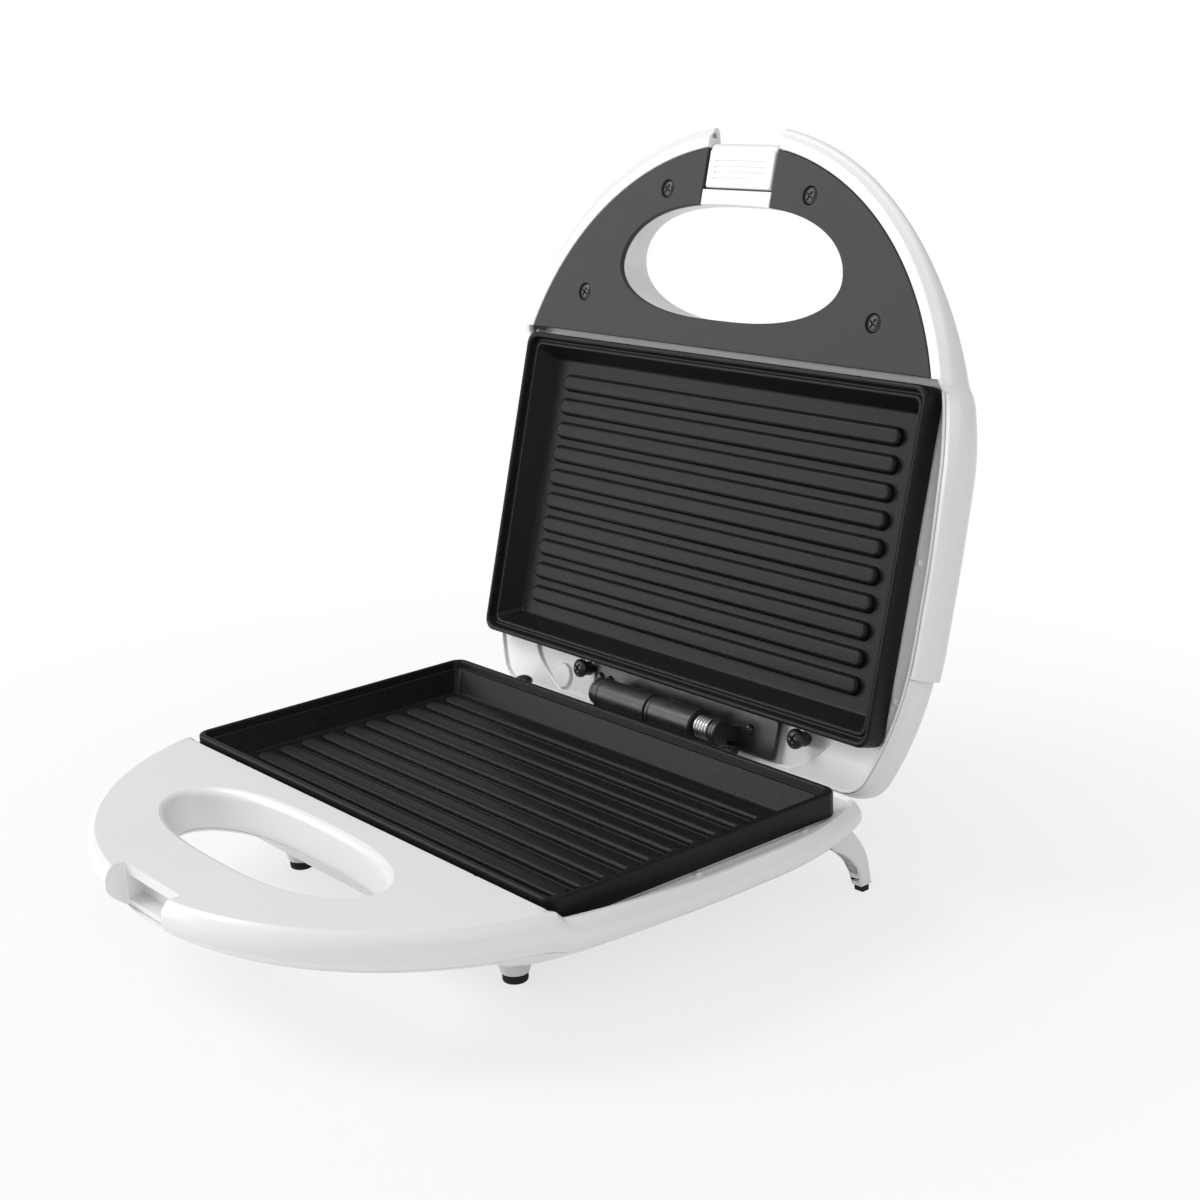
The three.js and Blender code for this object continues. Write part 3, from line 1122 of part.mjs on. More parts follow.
function baseWires() {
  const level = REFLECTOR_FLOOR_DEPTH + WIRE_RADIUS * 4;
  const blockFace = terminalBlockY() - TERMINAL_BLOCK.depth / 2 - FIT_GAP;
  const tabEnd = THERMOSTAT_Y + THERMOSTAT_RADIUS + THERMOSTAT_TAB.length + FIT_GAP;
  const heaterFoot = REFLECTOR_FLOOR_DEPTH + HEATER_RADIUS + WIRE_RADIUS + FIT_GAP;
  const middleY = (blockFace + tabEnd) / 2;
  const right = THERMOSTAT_TAB.x;
  const left = -THERMOSTAT_TAB.x;
  const [rightEnd, leftEnd, heaterEnd] = WIRE_PLACE_SHARES.map((share) => (
    TERMINAL_BLOCK.x + share * TERMINAL_BLOCK.width
  ));
  return [
    wire([[right, tabEnd, level], [right, middleY, level], [rightEnd, blockFace, level]]),
    wire([[left, tabEnd, level], [leftEnd, middleY, level], [leftEnd, blockFace, level]]),
    wire([
      [-HEATER_TERMINAL_X, HEATER_HALF_DEPTH, heaterFoot],
      [-HEATER_TERMINAL_X, middleY + THERMOSTAT_RADIUS, heaterFoot],
      [heaterEnd, blockFace, level],
    ]),
  ];
}

function lidWire(side) {
  const start = REFLECTOR_FLOOR_DEPTH + HEATER_RADIUS + WIRE_RADIUS + FIT_GAP;
  return wire([
    [side * HEATER_TERMINAL_X, HEATER_HALF_DEPTH, start],
    [side * HEATER_TERMINAL_X, HEATER_HALF_DEPTH + LID_WIRE_BEND, start + WIRE_RADIUS],
    [(side * HEATER_TERMINAL_X) / 3, HEATER_HALF_DEPTH + LID_WIRE_REACH, start],
  ]);
}

function lampLens(side) {
  const crown = lidCrownDepth(LAMP.y);
  const x = (side * LAMP.spacing) / 2;
  const inside = crown - LAMP.sink;
  return join(
    disc(x, LAMP.y, [inside - OVERLAP, crown + LAMP.rise], LAMP.radius),
    disc(x, LAMP.y, [inside - LAMP.flangeLength, inside], LAMP.flange),
  );
}

function neonLamp(side) {
  const crown = lidCrownDepth(LAMP.y);
  const end = crown - LAMP.sink - LAMP.flangeLength - FIT_GAP;
  return pillar((side * LAMP.spacing) / 2, LAMP.y, [end - NEON.length, end], NEON.radius);
}

// Feet and legs in the half frame

function footBody(side) {
  const top = BASE_BOTTOM_DEPTH + FIT_GAP;
  const bottom = RIDGE_HEIGHT - TIP_HEIGHT - FIT_GAP;
  const profile = [
    new THREE.Vector2(0, top),
    new THREE.Vector2(FOOT_TOP_RADIUS, top),
    new THREE.Vector2(FOOT_BOTTOM_RADIUS, bottom),
    new THREE.Vector2(0, bottom),
  ];
  const lathe = new THREE.LatheGeometry(profile, ROUND_SIDES);
  lathe.rotateX(Math.PI / 2);
  return toSolid(lathe.translate(side * FOOT_X, FOOT_Y, 0));
}

function footTip(side) {
  return disc(side * FOOT_X, FOOT_Y, [RIDGE_HEIGHT - TIP_HEIGHT, RIDGE_HEIGHT], TIP_RADIUS);
}

function legPoint({ lengthShare, heightShare }) {
  const depth = RIDGE_HEIGHT - LEG_HEIGHT * heightShare;
  return new THREE.Vector2(LEG_ROOT_Y + LEG_LENGTH * lengthShare, depth);
}

function rearLeg(side) {
  const back = new THREE.SplineCurve(LEG_BACK_SHARES.map(legPoint));
  const face = new THREE.SplineCurve(LEG_FRONT_SHARES.map(legPoint));
  const outline = [...back.getPoints(SMALL_SIDES), ...face.getPoints(SMALL_SIDES)];
  const [start, end] = side > 0 ? [LEG_INNER_X, LEG_OUTER_X] : [-LEG_OUTER_X, -LEG_INNER_X];
  return sideways(outline, start, end).subtract(baseBowl(-FIT_GAP));
}

function legPad(side) {
  const xs = [LEG_INNER_X + LEG_PAD_INSET, LEG_OUTER_X - LEG_PAD_INSET];
  const back = legPoint(LEG_BACK_SHARES[LEG_BACK_SHARES.length - 1]);
  const face = legPoint(LEG_FRONT_SHARES[0]);
  const ranges = side > 0 ? xs : [-xs[1], -xs[0]];
  const ys = [face.x + LEG_PAD_INSET / 2, back.x - LEG_PAD_INSET / 2];
  return block(ranges, ys, [back.y + LEG_PAD_GAP, RIDGE_HEIGHT]);
}

// Assembly

const base = new THREE.Group();
base.rotation.y = Math.PI;
base.position.z = RIDGE_HEIGHT;
const baseAxisDepth = -HINGE_ABOVE_BASE_RIDGE;
const shapes = baseShapes();
const baseKnuckles = [mirrored(BASE_KNUCKLE), mirrored(BASE_RING)];
const baseFoot = mirrored(BRACKET_SPAN);
const baseBracket = hingeBracket(baseAxisDepth, baseKnuckles, baseFoot, BRACKET_REAR_ARM);
base.add(
  piece('base_housing', baseHousing(shapes), whitePlastic),
  piece('base_bottom', baseBottom(shapes), whitePlastic),
  piece('lower_plate', grillPlate(), nonstick),
  piece('lower_reflector', reflector(), aluminised),
  piece('lower_heater', heater(), steel),
  piece('base_hinge_bracket', baseBracket, blackSteel),
  piece('thermostat', thermostat(), bakelite),
  piece('thermal_fuse', thermalFuse(), steel),
  piece('terminal_block', terminalBlock(), bakelite),
  piece('cord_gland', cordGland(), blackPlastic),
);
FRAME_SCREWS_X.forEach((x, i) => base.add(piece(`base_frame_screw_${i + 1}`, frameScrew(x), blackSteel)));
bottomScrewPlaces().forEach((place, i) => {
  base.add(piece(`bottom_screw_${i + 1}`, bottomScrew(place), blackSteel));
});
baseWires().forEach((route, i) => base.add(piece(`base_wire_${i + 1}`, route, wireSleeve)));
for (const [side, word] of [[-1, 'right'], [1, 'left']]) {
  base.add(
    piece(`front_foot_${word}`, footBody(side), whitePlastic),
    piece(`front_foot_tip_${word}`, footTip(side), rubber),
    piece(`rear_leg_${word}`, rearLeg(side), whitePlastic),
    piece(`rear_leg_pad_${word}`, legPad(side), rubber),
  );
}

const hingeY = PLATE_DEPTH / 2 + HINGE_BEHIND_PLATE;
const hingeZ = RIDGE_HEIGHT + HINGE_ABOVE_BASE_RIDGE;
const hinge = new THREE.Group();
hinge.position.set(0, hingeY, hingeZ);
const spring = new THREE.Mesh(hingeSpring(), new THREE.MeshStandardMaterial(steel));
spring.name = 'hinge_spring';
spring.position.x = (SPRING_SPAN.start + SPRING_SPAN.end) / 2;
hinge.add(piece('hinge_pin', rod(PIN_SPAN, 0, 0, PIN_RADIUS), steel), spring);

const lidSwing = new THREE.Group();
lidSwing.rotation.x = -THREE.MathUtils.degToRad(OPEN_ANGLE_DEGREES);
const lid = new THREE.Group();
const lidAxisDepth = HINGE_ABOVE_BASE_RIDGE - CLOSED_GAP;
lid.position.set(0, -hingeY, -lidAxisDepth);
const lidKnuckles = [LID_KNUCKLE, LID_EAR];
const lidFoot = { start: BRACKET_SPAN.start, end: LID_BRACKET_FOOT_END };
const lidBracket = hingeBracket(lidAxisDepth, lidKnuckles, lidFoot, LID_BRACKET_REAR_ARM);
lid.add(
  piece('lid_cover', lidCover(), whitePlastic),
  piece('lid_rear_cover', lidRearCover(), whitePlastic),
  piece('lid_inner_frame', lidInnerFrame(), whitePlastic),
  piece('lid_insert_panel', lidInsertPanel(), panelPlastic),
  piece('upper_plate', grillPlate(), nonstick),
  piece('upper_reflector', reflector(), aluminised),
  piece('upper_heater', heater(), steel),
  piece('lid_hinge_bracket', lidBracket, blackSteel),
  piece('latch_clip', latchClip(), whitePlastic),
  piece('latch_pin', latchRod(LATCH_PIN_OVERHANG, LATCH_PIN_RADIUS), steel),
  piece('power_lamp_lens', lampLens(-1), redLens),
  piece('ready_lamp_lens', lampLens(1), greenLens),
  piece('power_lamp', neonLamp(-1), glass),
  piece('ready_lamp', neonLamp(1), glass),
  piece('lid_wire_left', lidWire(-1), wireSleeve),
  piece('lid_wire_right', lidWire(1), wireSleeve),
);
insertScrewPlaces().forEach((place, i) => {
  lid.add(piece(`insert_screw_${i + 1}`, insertScrew(place), blackSteel));
});
FRAME_SCREWS_X.forEach((x, i) => lid.add(piece(`lid_frame_screw_${i + 1}`, frameScrew(x), blackSteel)));
lidSwing.add(lid);
hinge.add(lidSwing);

const sandwichMaker = new THREE.Group();
sandwichMaker.name = 'sandwich_maker';
sandwichMaker.add(base, hinge);

// The opened maker is centred over the origin in plan
sandwichMaker.updateMatrixWorld(true);
const reach = new THREE.Box3().setFromObject(sandwichMaker, true);
sandwichMaker.position.y = -(reach.min.y + reach.max.y) / 2;

export default sandwichMaker;
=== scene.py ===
"""Looks of an opened sandwich maker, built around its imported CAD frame.

Every piece is drawn in millimetres in a half frame, the same for both halves: its origin is the
centre of the grill plate on its ridge plane, y points to the hinge and w goes into the housing.
A matrix per half then places the finished mesh in the row frame, in metres.
"""

import json
import math

import bmesh
import bpy
import numpy as np
from mathutils import Matrix, Vector


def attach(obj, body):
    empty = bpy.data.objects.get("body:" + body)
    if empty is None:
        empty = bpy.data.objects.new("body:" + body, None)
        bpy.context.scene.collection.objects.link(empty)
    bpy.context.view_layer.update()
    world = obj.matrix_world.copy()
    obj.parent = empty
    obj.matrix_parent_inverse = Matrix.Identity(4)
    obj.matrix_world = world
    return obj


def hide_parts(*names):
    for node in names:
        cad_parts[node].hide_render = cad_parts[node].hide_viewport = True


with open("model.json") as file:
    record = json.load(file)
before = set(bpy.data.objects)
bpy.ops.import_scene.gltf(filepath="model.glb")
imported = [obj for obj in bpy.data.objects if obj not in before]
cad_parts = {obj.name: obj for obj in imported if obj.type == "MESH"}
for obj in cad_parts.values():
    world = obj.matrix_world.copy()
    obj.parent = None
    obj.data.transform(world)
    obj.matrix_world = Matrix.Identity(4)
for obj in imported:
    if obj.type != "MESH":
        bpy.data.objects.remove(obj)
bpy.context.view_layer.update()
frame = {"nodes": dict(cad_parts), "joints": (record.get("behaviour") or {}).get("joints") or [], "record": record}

MM = 0.001
GAP = 0.3
FAR = 400.0
DEEP = 60
THROUGH = 20
OVERRUN = 3

# Plates and their places
PLATE_LENGTH = 220.0
PLATE_DEPTH = 127.6
PLATE_CORNER = 5.0
PLATE_ROOM = 0.6
RIDGE_HEIGHT = 48.0
HINGE_BEHIND_PLATE = 10.4
HINGE_Y = PLATE_DEPTH / 2 + HINGE_BEHIND_PLATE
HINGE_W = -0.4

joints = {joint["name"]: joint for joint in frame["joints"]}
hinge_at = Vector(joints["lid_hinge"]["pos_m"]) / MM
open_angle = math.radians(joints["lid_hinge"]["range_deg"][1])
plan_shift = hinge_at.y - HINGE_Y

BASE_PLACE = Matrix.Scale(MM, 4) @ Matrix.Translation((0, plan_shift, RIDGE_HEIGHT))
BASE_PLACE = BASE_PLACE @ Matrix.Rotation(math.pi, 4, "Y")
HINGE_PLACE = Matrix.Scale(MM, 4) @ Matrix.Translation(hinge_at)
LID_PLACE = HINGE_PLACE @ Matrix.Rotation(-open_angle, 4, "X")
LID_PLACE = LID_PLACE @ Matrix.Translation((0, -HINGE_Y, -HINGE_W))
PLACES = {"base": BASE_PLACE, "lid": LID_PLACE, "latch": LID_PLACE}

# Plan outline of the housings
RIM_R = 117.0
FRONT_REACH = 112.5
FRONT_Y = -34.2
BACK_Y = 25.4
REAR_Y = 83.4
CORNER_R = 12.0
OVAL_STEPS = 64
SIDE_POINTS = 14
SIDE_ARC_STEPS = 18
CORNER_STEPS = 9
REAR_EDGE_SHARES = (0.66, 0.33)

# Rim heights along y
PANEL_W = 1.3
STEP_FRONT_Y = -65.3
STEP_REAR_Y = -61.3
STEP_W = 5.6
LEVEL_Y = 5.7
PLATE_RIM_W = 9.0
HANDLE_W = 2.0

# Lid
LID_CURVE = [
    (1.4, 0), (4, 3.3), (5, 7.9), (4.6, 13.2), (1.5, 19.1), (-4, 24.1), (-12, 28.05),
    (-24, 31), (-38, 32.4), (-62, 33), (-90, 33), (-103, 33),
]
LID_HEIGHT = 33.0
LID_REACH = 5.0
LID_RIM = [(-0.4, 2.4, 0), (-0.4, 0, 0.55), (1.5, 0, 0.9)]
LID_INNER_START = 2.5
LID_FRONT_START = 9
CROWN_W = 34.0
HANDLE_CROWN_W = 10.2
SLOPE_FRONT_Y = -134.6
SLOPE_REAR_Y = -28.8
LID_WALL = 1.8
SEAM_Y = 36.9
REAR_STEP = 2.5
LAMP_X = 7.5
LAMP_Y = -14

# Frame round the plates
FRAME_OFFSET = -0.8
FRAME_INNER_OFFSET = -40
LIP = 1.3
LIP_EDGE = 0.55
FLOOR_W = 10.3
FLOOR_END_W = 12.3
FLOOR_EDGE = 0.3
FLOOR_SINK = 0.04
SKIRT_W = 14.0
FRAME_FRONT_Y = -72.3
FRAME_OPENING_INSET = 3.4
OPENING_TOP_W = 2

# Insert panel and the notch in it
PANEL_R = 113.8
PANEL_REAR_Y = -66.3
PANEL_THICK = 1.8
PANEL_STEPS = 128
NOTCH_HALF = 18.9
NOTCH_REAR_Y = -126.4
PANEL_NOTCH_Y = -116.5

# Base
BASE_CURVE = [
    (0, 0), (2, 1.75), (3.2, 4.25), (2.4, 7.75), (-2.5, 11.25), (-9.5, 15), (-18, 19.25),
    (-28, 22.75), (-39, 25),
]
BASE_HEIGHT = 25.0
BASE_REACH = 3.2
BASE_LEVEL_OFFSETS = (-100, -50, -4)
BASE_RIM_OFFSETS = (-3, -1.2)
BASE_RIM = [(-1.2, 0, 0), (0.1, 0, 0.9)]
BASE_END_W = 34.0
BASE_WALL = 2.2
SPLIT_W = 17.2
UNDER_W = 19.6
TUB_Y = -75.0
TUB_SLOPE = 14.0
TUB_FAR = 200.0
TUB_ABOVE_UNDER = 6
RECESS_Y = -65.3
RECESS_OFFSET = -2.1
RECESS_EDGE = 0.7
RECESS_WALL = 1.6
SHELF_Y = 76.2
BASE_NOTCH_Y = -140.7
CLIP_POCKET_Y = -135.1
CLIP_WALL_Y = -133.5
CLIP_LEDGE = 4
GLAND_X = 34
GLAND_W = 25

# Screws
FRAME_SCREWS_X = (72.5, -49.6)
FRAME_SCREW_Y = 68.6
PANEL_SCREWS = ((38.5, -125.8), (-38.5, -125.8), (79.0, -82.6), (-79.0, -82.6))
BOTTOM_SCREWS = ((74.0, -64.4), (-74.0, -64.4), (62.0, 68.9), (-62.0, 68.9))
HOLE_STEPS = 24


# --- outlines and profiles

ROUND_STEPS = 48
QUARTER_STEPS = 6
SMALLEST_CORNER = 0.02
SMALLEST_CORNER_SHARE = 0.25
FINGER_STEPS = 112
FINGER_POWER = 0.74
LEG_SHARE = 0.49


def arc(cx, cy, radius, start, end, steps, first=0):
    turns = start + (end - start) * np.arange(first, steps + 1) / steps
    return np.stack([cx + radius * np.cos(turns), cy + radius * np.sin(turns)], 1)


def front_arc(radius, start, end, steps):
    """Part of the front half oval, whose reach in y keeps its share of the radius."""
    turns = start + (end - start) * np.arange(steps + 1) / steps
    reach = radius * FRONT_REACH / RIM_R
    return np.stack([radius * np.cos(turns), FRONT_Y + reach * np.sin(turns)], 1)


def housing(offset, front_y=None):
    """Housing outline grown by offset, cut off straight at front_y when that is given."""
    radius = RIM_R + offset
    rear_y = BACK_Y + (REAR_Y - BACK_Y) * radius / RIM_R
    corner = min(max(CORNER_R + offset / 2, CORNER_R / 2), radius / 2)
    cy = rear_y - corner
    cx = math.sqrt((radius - corner) ** 2 - (cy - BACK_Y) ** 2)
    turn = math.atan2(cy - BACK_Y, cx)
    reach = radius * FRONT_REACH / RIM_R
    start = -math.pi / 2 if front_y is None else math.asin((front_y - FRONT_Y) / reach)
    side_y = np.linspace(FRONT_Y, BACK_Y, SIDE_POINTS)[1:-1]
    right = np.concatenate([
        front_arc(radius, start, 0, OVAL_STEPS),
        np.stack([np.full_like(side_y, radius), side_y], 1),
        arc(0, BACK_Y, radius, 0, turn, SIDE_ARC_STEPS),
        arc(cx, cy, corner, turn, math.pi / 2, CORNER_STEPS, 1),
        np.array([[cx * share, rear_y] for share in REAR_EDGE_SHARES]),
    ])
    left = right[::-1] * (-1, 1)
    if front_y is None:
        left = left[:-1]
    return np.concatenate([right, left])


def panel_outline(inset):
    """Front segment of the housing's oval, closed by a straight rear edge."""
    size = PANEL_R - inset
    start = math.asin((PANEL_REAR_Y - inset - FRONT_Y) / (size * FRONT_REACH / RIM_R))
    return front_arc(size, -math.pi - start, start, PANEL_STEPS)


def rectangle(half_x, half_y, corner, cx=0.0, cy=0.0, steps=QUARTER_STEPS):
    """A function that gives a rounded rectangle, drawn in by an inset."""
    def outline(inset=0.0):
        radius = max(corner - inset, corner * SMALLEST_CORNER_SHARE, SMALLEST_CORNER)
        hx, hy = half_x - inset - radius, half_y - inset - radius
        parts = []
        for quarter, (sx, sy) in enumerate(((1, 1), (-1, 1), (-1, -1), (1, -1))):
            start = quarter * math.pi / 2
            end = start + math.pi / 2
            parts.append(arc(cx + sx * hx, cy + sy * hy, radius, start, end, steps))
        return np.concatenate(parts)
    return outline


def plate_outline(inset):
    half_x, half_y = PLATE_LENGTH / 2, PLATE_DEPTH / 2
    corner = max(PLATE_CORNER - inset / 2, PLATE_CORNER / 3)
    return rectangle(half_x - inset, half_y - inset, corner, steps=8)(0)


def circle(radius, cx=0.0, cy=0.0, steps=ROUND_STEPS):
    def outline(inset=0.0):
        return arc(cx, cy, radius - inset, 0, 2 * math.pi, steps)[:-1]
    return outline


def egg(half_width, rear_y, front_y, widest_y, cx):
    """Finger opening: an oval that is widest nearer to its rear edge."""
    def outline(inset=0.0):
        turns = np.arange(FINGER_STEPS) / FINGER_STEPS * 2 * math.pi
        cosine, sine = np.cos(turns), np.sin(turns)
        bulge = np.sign(cosine) * np.abs(cosine) ** FINGER_POWER
        half = np.where(sine > 0, rear_y - widest_y, widest_y - front_y)
        x = cx + (half_width - inset) * bulge
        return np.stack([x, widest_y + (half - inset) * sine], 1)
    return outline


lid_finger = egg(half_width=60.2, rear_y=-77.2, front_y=-121.0, widest_y=-96.1, cx=0.8)
base_finger = egg(half_width=60.5, rear_y=-77.5, front_y=-116.5, widest_y=-95.4, cx=0.0)


def ease(value):
    held = np.clip(value, 0, 1)
    return held * held * (3 - 2 * held)


def lid_rim(y):
    ramp = np.interp(y, [STEP_FRONT_Y, STEP_REAR_Y], [PANEL_W, STEP_W])
    back = STEP_W + (PLATE_RIM_W - STEP_W) * ease((y - STEP_REAR_Y) / (LEVEL_Y - STEP_REAR_Y))
    return np.where(y < STEP_REAR_Y, ramp, back)


def lid_crown(y):
    share = ease((y - SLOPE_FRONT_Y) / (SLOPE_REAR_Y - SLOPE_FRONT_Y))
    return HANDLE_CROWN_W + (CROWN_W - HANDLE_CROWN_W) * share


def base_rim(y):
    return np.maximum(HANDLE_W, lid_rim(y))


def rounded(points, steps=5):
    """Polyline of (a, b, radius) with an arc in place of each corner that has a radius."""
    out = []
    for i, (a, b, radius) in enumerate(points):
        here = Vector((a, b))
        if radius <= 0 or i in (0, len(points) - 1):
            out.append((a, b))
            continue
        back = Vector(points[i - 1][:2]) - here
        on = Vector(points[i + 1][:2]) - here
        half = back.angle(on) / 2
        reach = min(radius / math.tan(half), back.length * LEG_SHARE, on.length * LEG_SHARE)
        size = reach * math.tan(half)
        back.normalize()
        on.normalize()
        centre = here + (back + on).normalized() * (size / math.sin(half))
        first = here + back * reach - centre
        last = here + on * reach - centre
        sweep = first.angle_signed(last)
        for k in range(steps + 1):
            turned = first.copy()
            turned.rotate(Matrix.Rotation(-sweep * k / steps, 2))
            out.append(tuple(centre + turned))
    return out


def spline(points, steps):
    """Smooth curve through the points."""
    spots = np.array(points, float)
    before = 2 * spots[0] - spots[1]
    after = 2 * spots[-1] - spots[-2]
    spots = np.concatenate([[before], spots, [after]])
    out = []
    for i in range(1, len(spots) - 2):
        p0, p1, p2, p3 = spots[i - 1:i + 3]
        for k in range(steps):
            t = k / steps
            out.append(0.5 * (2 * p1 + (p2 - p0) * t + (2 * p0 - 5 * p1 + 4 * p2 - p3) * t * t
                              + (3 * p1 - p0 - 3 * p2 + p3) * t ** 3))
    out.append(spots[-2])
    return np.array(out)


# --- meshes

MERGE_DISTANCE = 0.004
SHARP_ANGLE = 32
PLATE_SHARP_ANGLE = 40
NORMAL_WEIGHT = 60


def make(name, verts, faces):
    mesh = bpy.data.meshes.new(name)
    mesh.from_pydata([tuple(v) for v in verts], [], faces)
    obj = bpy.data.objects.new(name, mesh)
    bpy.context.scene.collection.objects.link(obj)
    return obj


def ring(outline, depth):
    """Outline points at a depth, which may be a number or a function of y."""
    level = depth(outline[:, 1]) if callable(depth) else np.full(len(outline), float(depth))
    return np.column_stack([outline, level])


def shifted(depth, by):
    """A depth moved by a distance. It may be a number or a function of y."""
    return (lambda y: depth(y) + by) if callable(depth) else depth + by


def loft(name, rings):
    """Skin through rings of the same count, capped at both ends."""
    count, total = len(rings[0]), len(rings)
    faces = []
    for low in range(0, (total - 1) * count, count):
        high = low + count
        for i in range(count):
            j = (i + 1) % count
            faces.append((low + i, low + j, high + j, high + i))
    faces.append(tuple(reversed(range(count))))
    faces.append(tuple(range((total - 1) * count, total * count)))
    return make(name, np.concatenate(rings), faces)


def bend(size, turn):
    """Distances from the two faces of a rounded edge."""
    return size * (1 - math.sin(turn)), size * (1 - math.cos(turn))


def full_edge(size, steps=4):
    return [bend(size, math.pi / 2 * k / steps) for k in range(steps + 1)]


def hole_edge(size, steps=5, start=12):
    """Edge of a hole, which starts a little steep to meet the surface."""
    return [bend(size, math.radians(start + (90 - start) * k / steps)) for k in range(steps + 1)]


def block(name, outline, top, end, top_edge=0.0, end_edge=0.0):
    """Solid between two depths with rounded edges. outline(inset) gives its plan."""
    rings = []
    if top_edge:
        for inset, drop in full_edge(top_edge):
            rings.append(ring(outline(inset), shifted(top, drop)))
    else:
        rings.append(ring(outline(0), top))
    if end_edge:
        for rise, inset in full_edge(end_edge):
            rings.append(ring(outline(inset), shifted(end, -rise)))
    else:
        rings.append(ring(outline(0), end))
    return loft(name, rings)


def cutter(outline, top, end, top_edge=0.0, end_edge=0.0):
    """Tool for a hole from depth top to depth end that leaves rounded edges on the solid."""
    rings = []
    if top_edge:
        rings.append(ring(outline(-top_edge - OVERRUN), shifted(top, -OVERRUN)))
        for inset, drop in hole_edge(top_edge):
            rings.append(ring(outline(-inset), shifted(top, drop)))
    else:
        rings.append(ring(outline(0), top))
    if end_edge:
        for inset, rise in reversed(hole_edge(end_edge)):
            rings.append(ring(outline(-inset), shifted(end, -rise)))
        rings.append(ring(outline(-end_edge - OVERRUN), shifted(end, OVERRUN)))
    else:
        rings.append(ring(outline(0), end))
    return loft("tool", rings)


def prism(outline, top, end):
    """Straight tool over a plan between two depths."""
    return loft("tool", [ring(outline, top), ring(outline, end)])


def box(x0, x1, y0, y1, w0, w1):
    return prism(np.array([[x0, y0], [x1, y0], [x1, y1], [x0, y1]], float), w0, w1)


def below(w, y0=-FAR):
    """Everything deeper than w and behind y0."""
    return box(-FAR, FAR, y0, FAR, w, FAR)


def above(w, y0=-FAR):
    """Everything nearer than w and behind y0."""
    return box(-FAR, FAR, y0, FAR, -FAR, w)


def ahead_of(y, w=FAR):
    """Everything in front of y and nearer than w."""
    return box(-FAR, FAR, -FAR, y, -FAR, w)


def lathe(name, profile, place, steps=ROUND_STEPS):
    """Round solid from a profile of (along, radius) points that starts and ends on the axis."""
    verts, faces = [], []
    turns = np.arange(steps) / steps * 2 * math.pi
    inner = profile[1:-1]
    verts.append((0, 0, profile[0][0]))
    for along, radius in inner:
        verts.extend((radius * math.cos(t), radius * math.sin(t), along) for t in turns)
    verts.append((0, 0, profile[-1][0]))
    last = len(verts) - 1
    for i in range(steps):
        j = (i + 1) % steps
        faces.append((0, 1 + j, 1 + i))
        for r in range(len(inner) - 1):
            a, b = 1 + r * steps, 1 + (r + 1) * steps
            faces.append((a + i, a + j, b + j, b + i))
        end = 1 + (len(inner) - 1) * steps
        faces.append((last, end + i, end + j))
    obj = make(name, verts, faces)
    obj.data.transform(place)
    return obj


def along_w(x, y):
    return Matrix.Translation((x, y, 0))


def along_x(y, w):
    return Matrix.Translation((0, y, w)) @ Matrix.Rotation(math.pi / 2, 4, "Y")


def along_y(x, w):
    return Matrix.Translation((x, 0, w)) @ Matrix.Rotation(-math.pi / 2, 4, "X")


def bore(radius, start, end, place):
    """Tool for a straight round bore."""
    return lathe("tool", [(start, 0), (start, radius), (end, radius), (end, 0)], place)


def outward(obj, merge=0.0):
    """Turns the faces outward, after merging the stray points that booleans leave."""
    work = bmesh.new()
    work.from_mesh(obj.data)
    if merge:
        bmesh.ops.remove_doubles(work, verts=work.verts, dist=merge)
        bmesh.ops.dissolve_degenerate(work, edges=work.edges, dist=merge)
    bmesh.ops.recalc_face_normals(work, faces=work.faces)
    work.to_mesh(obj.data)
    work.free()


def bake(obj):
    """Applies the object's modifiers."""
    bpy.context.view_layer.update()
    graph = bpy.context.evaluated_depsgraph_get()
    mesh = bpy.data.meshes.new_from_object(obj.evaluated_get(graph))
    obj.modifiers.clear()
    old = obj.data
    obj.data = mesh
    bpy.data.meshes.remove(old)


def combine(obj, *steps):
    """Applies boolean steps, each (operation, tool, ...), and removes the tools."""
    outward(obj)
    tools = []
    for operation, *group in steps:
        for tool in group:
            outward(tool)
            mod = obj.modifiers.new("step", "BOOLEAN")
            mod.operation = operation
            mod.solver = "MANIFOLD"
            mod.object = tool
            tools.append(tool)
    bake(obj)
    for tool in tools:
        mesh = tool.data
        bpy.data.objects.remove(tool)
        if not mesh.users:
            bpy.data.meshes.remove(mesh)
    return obj


def cut(*tools):
    return ("DIFFERENCE", *tools)


def add(*tools):
    return ("UNION", *tools)


def keep(*tools):
    return ("INTERSECT", *tools)


def copy(obj):
    twin = obj.copy()
    twin.data = obj.data.copy()
    bpy.context.scene.collection.objects.link(twin)
    return twin


def finish_piece(obj, body, slot, node, place=None, angle=SHARP_ANGLE):
    """Shades and places a finished piece, hangs it under its body and hides the CAD node it replaces."""
    outward(obj, MERGE_DISTANCE)
    obj.data.transform(PLACES[body] if place is None else place)
    obj.data.shade_smooth()
    obj.data.set_sharp_from_angle(angle=math.radians(angle))
    weighted = obj.modifiers.new("normals", "WEIGHTED_NORMAL")
    weighted.keep_sharp = True
    weighted.weight = NORMAL_WEIGHT
    obj.data.materials.clear()
    obj.data.materials.append(SLOT_MATERIALS[slot])
    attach(obj, body)
    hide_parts(node)


# --- materials

NOISE_ROUGHNESS = 0.5
TONE_DETAIL = 4
GRAIN_DETAIL = 3
GRAIN_ROUGHNESS = 0.6
TONE_SPAN = (0.3, 0.7)


def new_node(tree, kind, values=None):
    """New shader node with the given inputs set."""
    return fill(tree.nodes.new(f"ShaderNode{kind}"), values or {})


def fill(node, values):
    for name, value in values.items():
        node.inputs[name].default_value = value
    return node


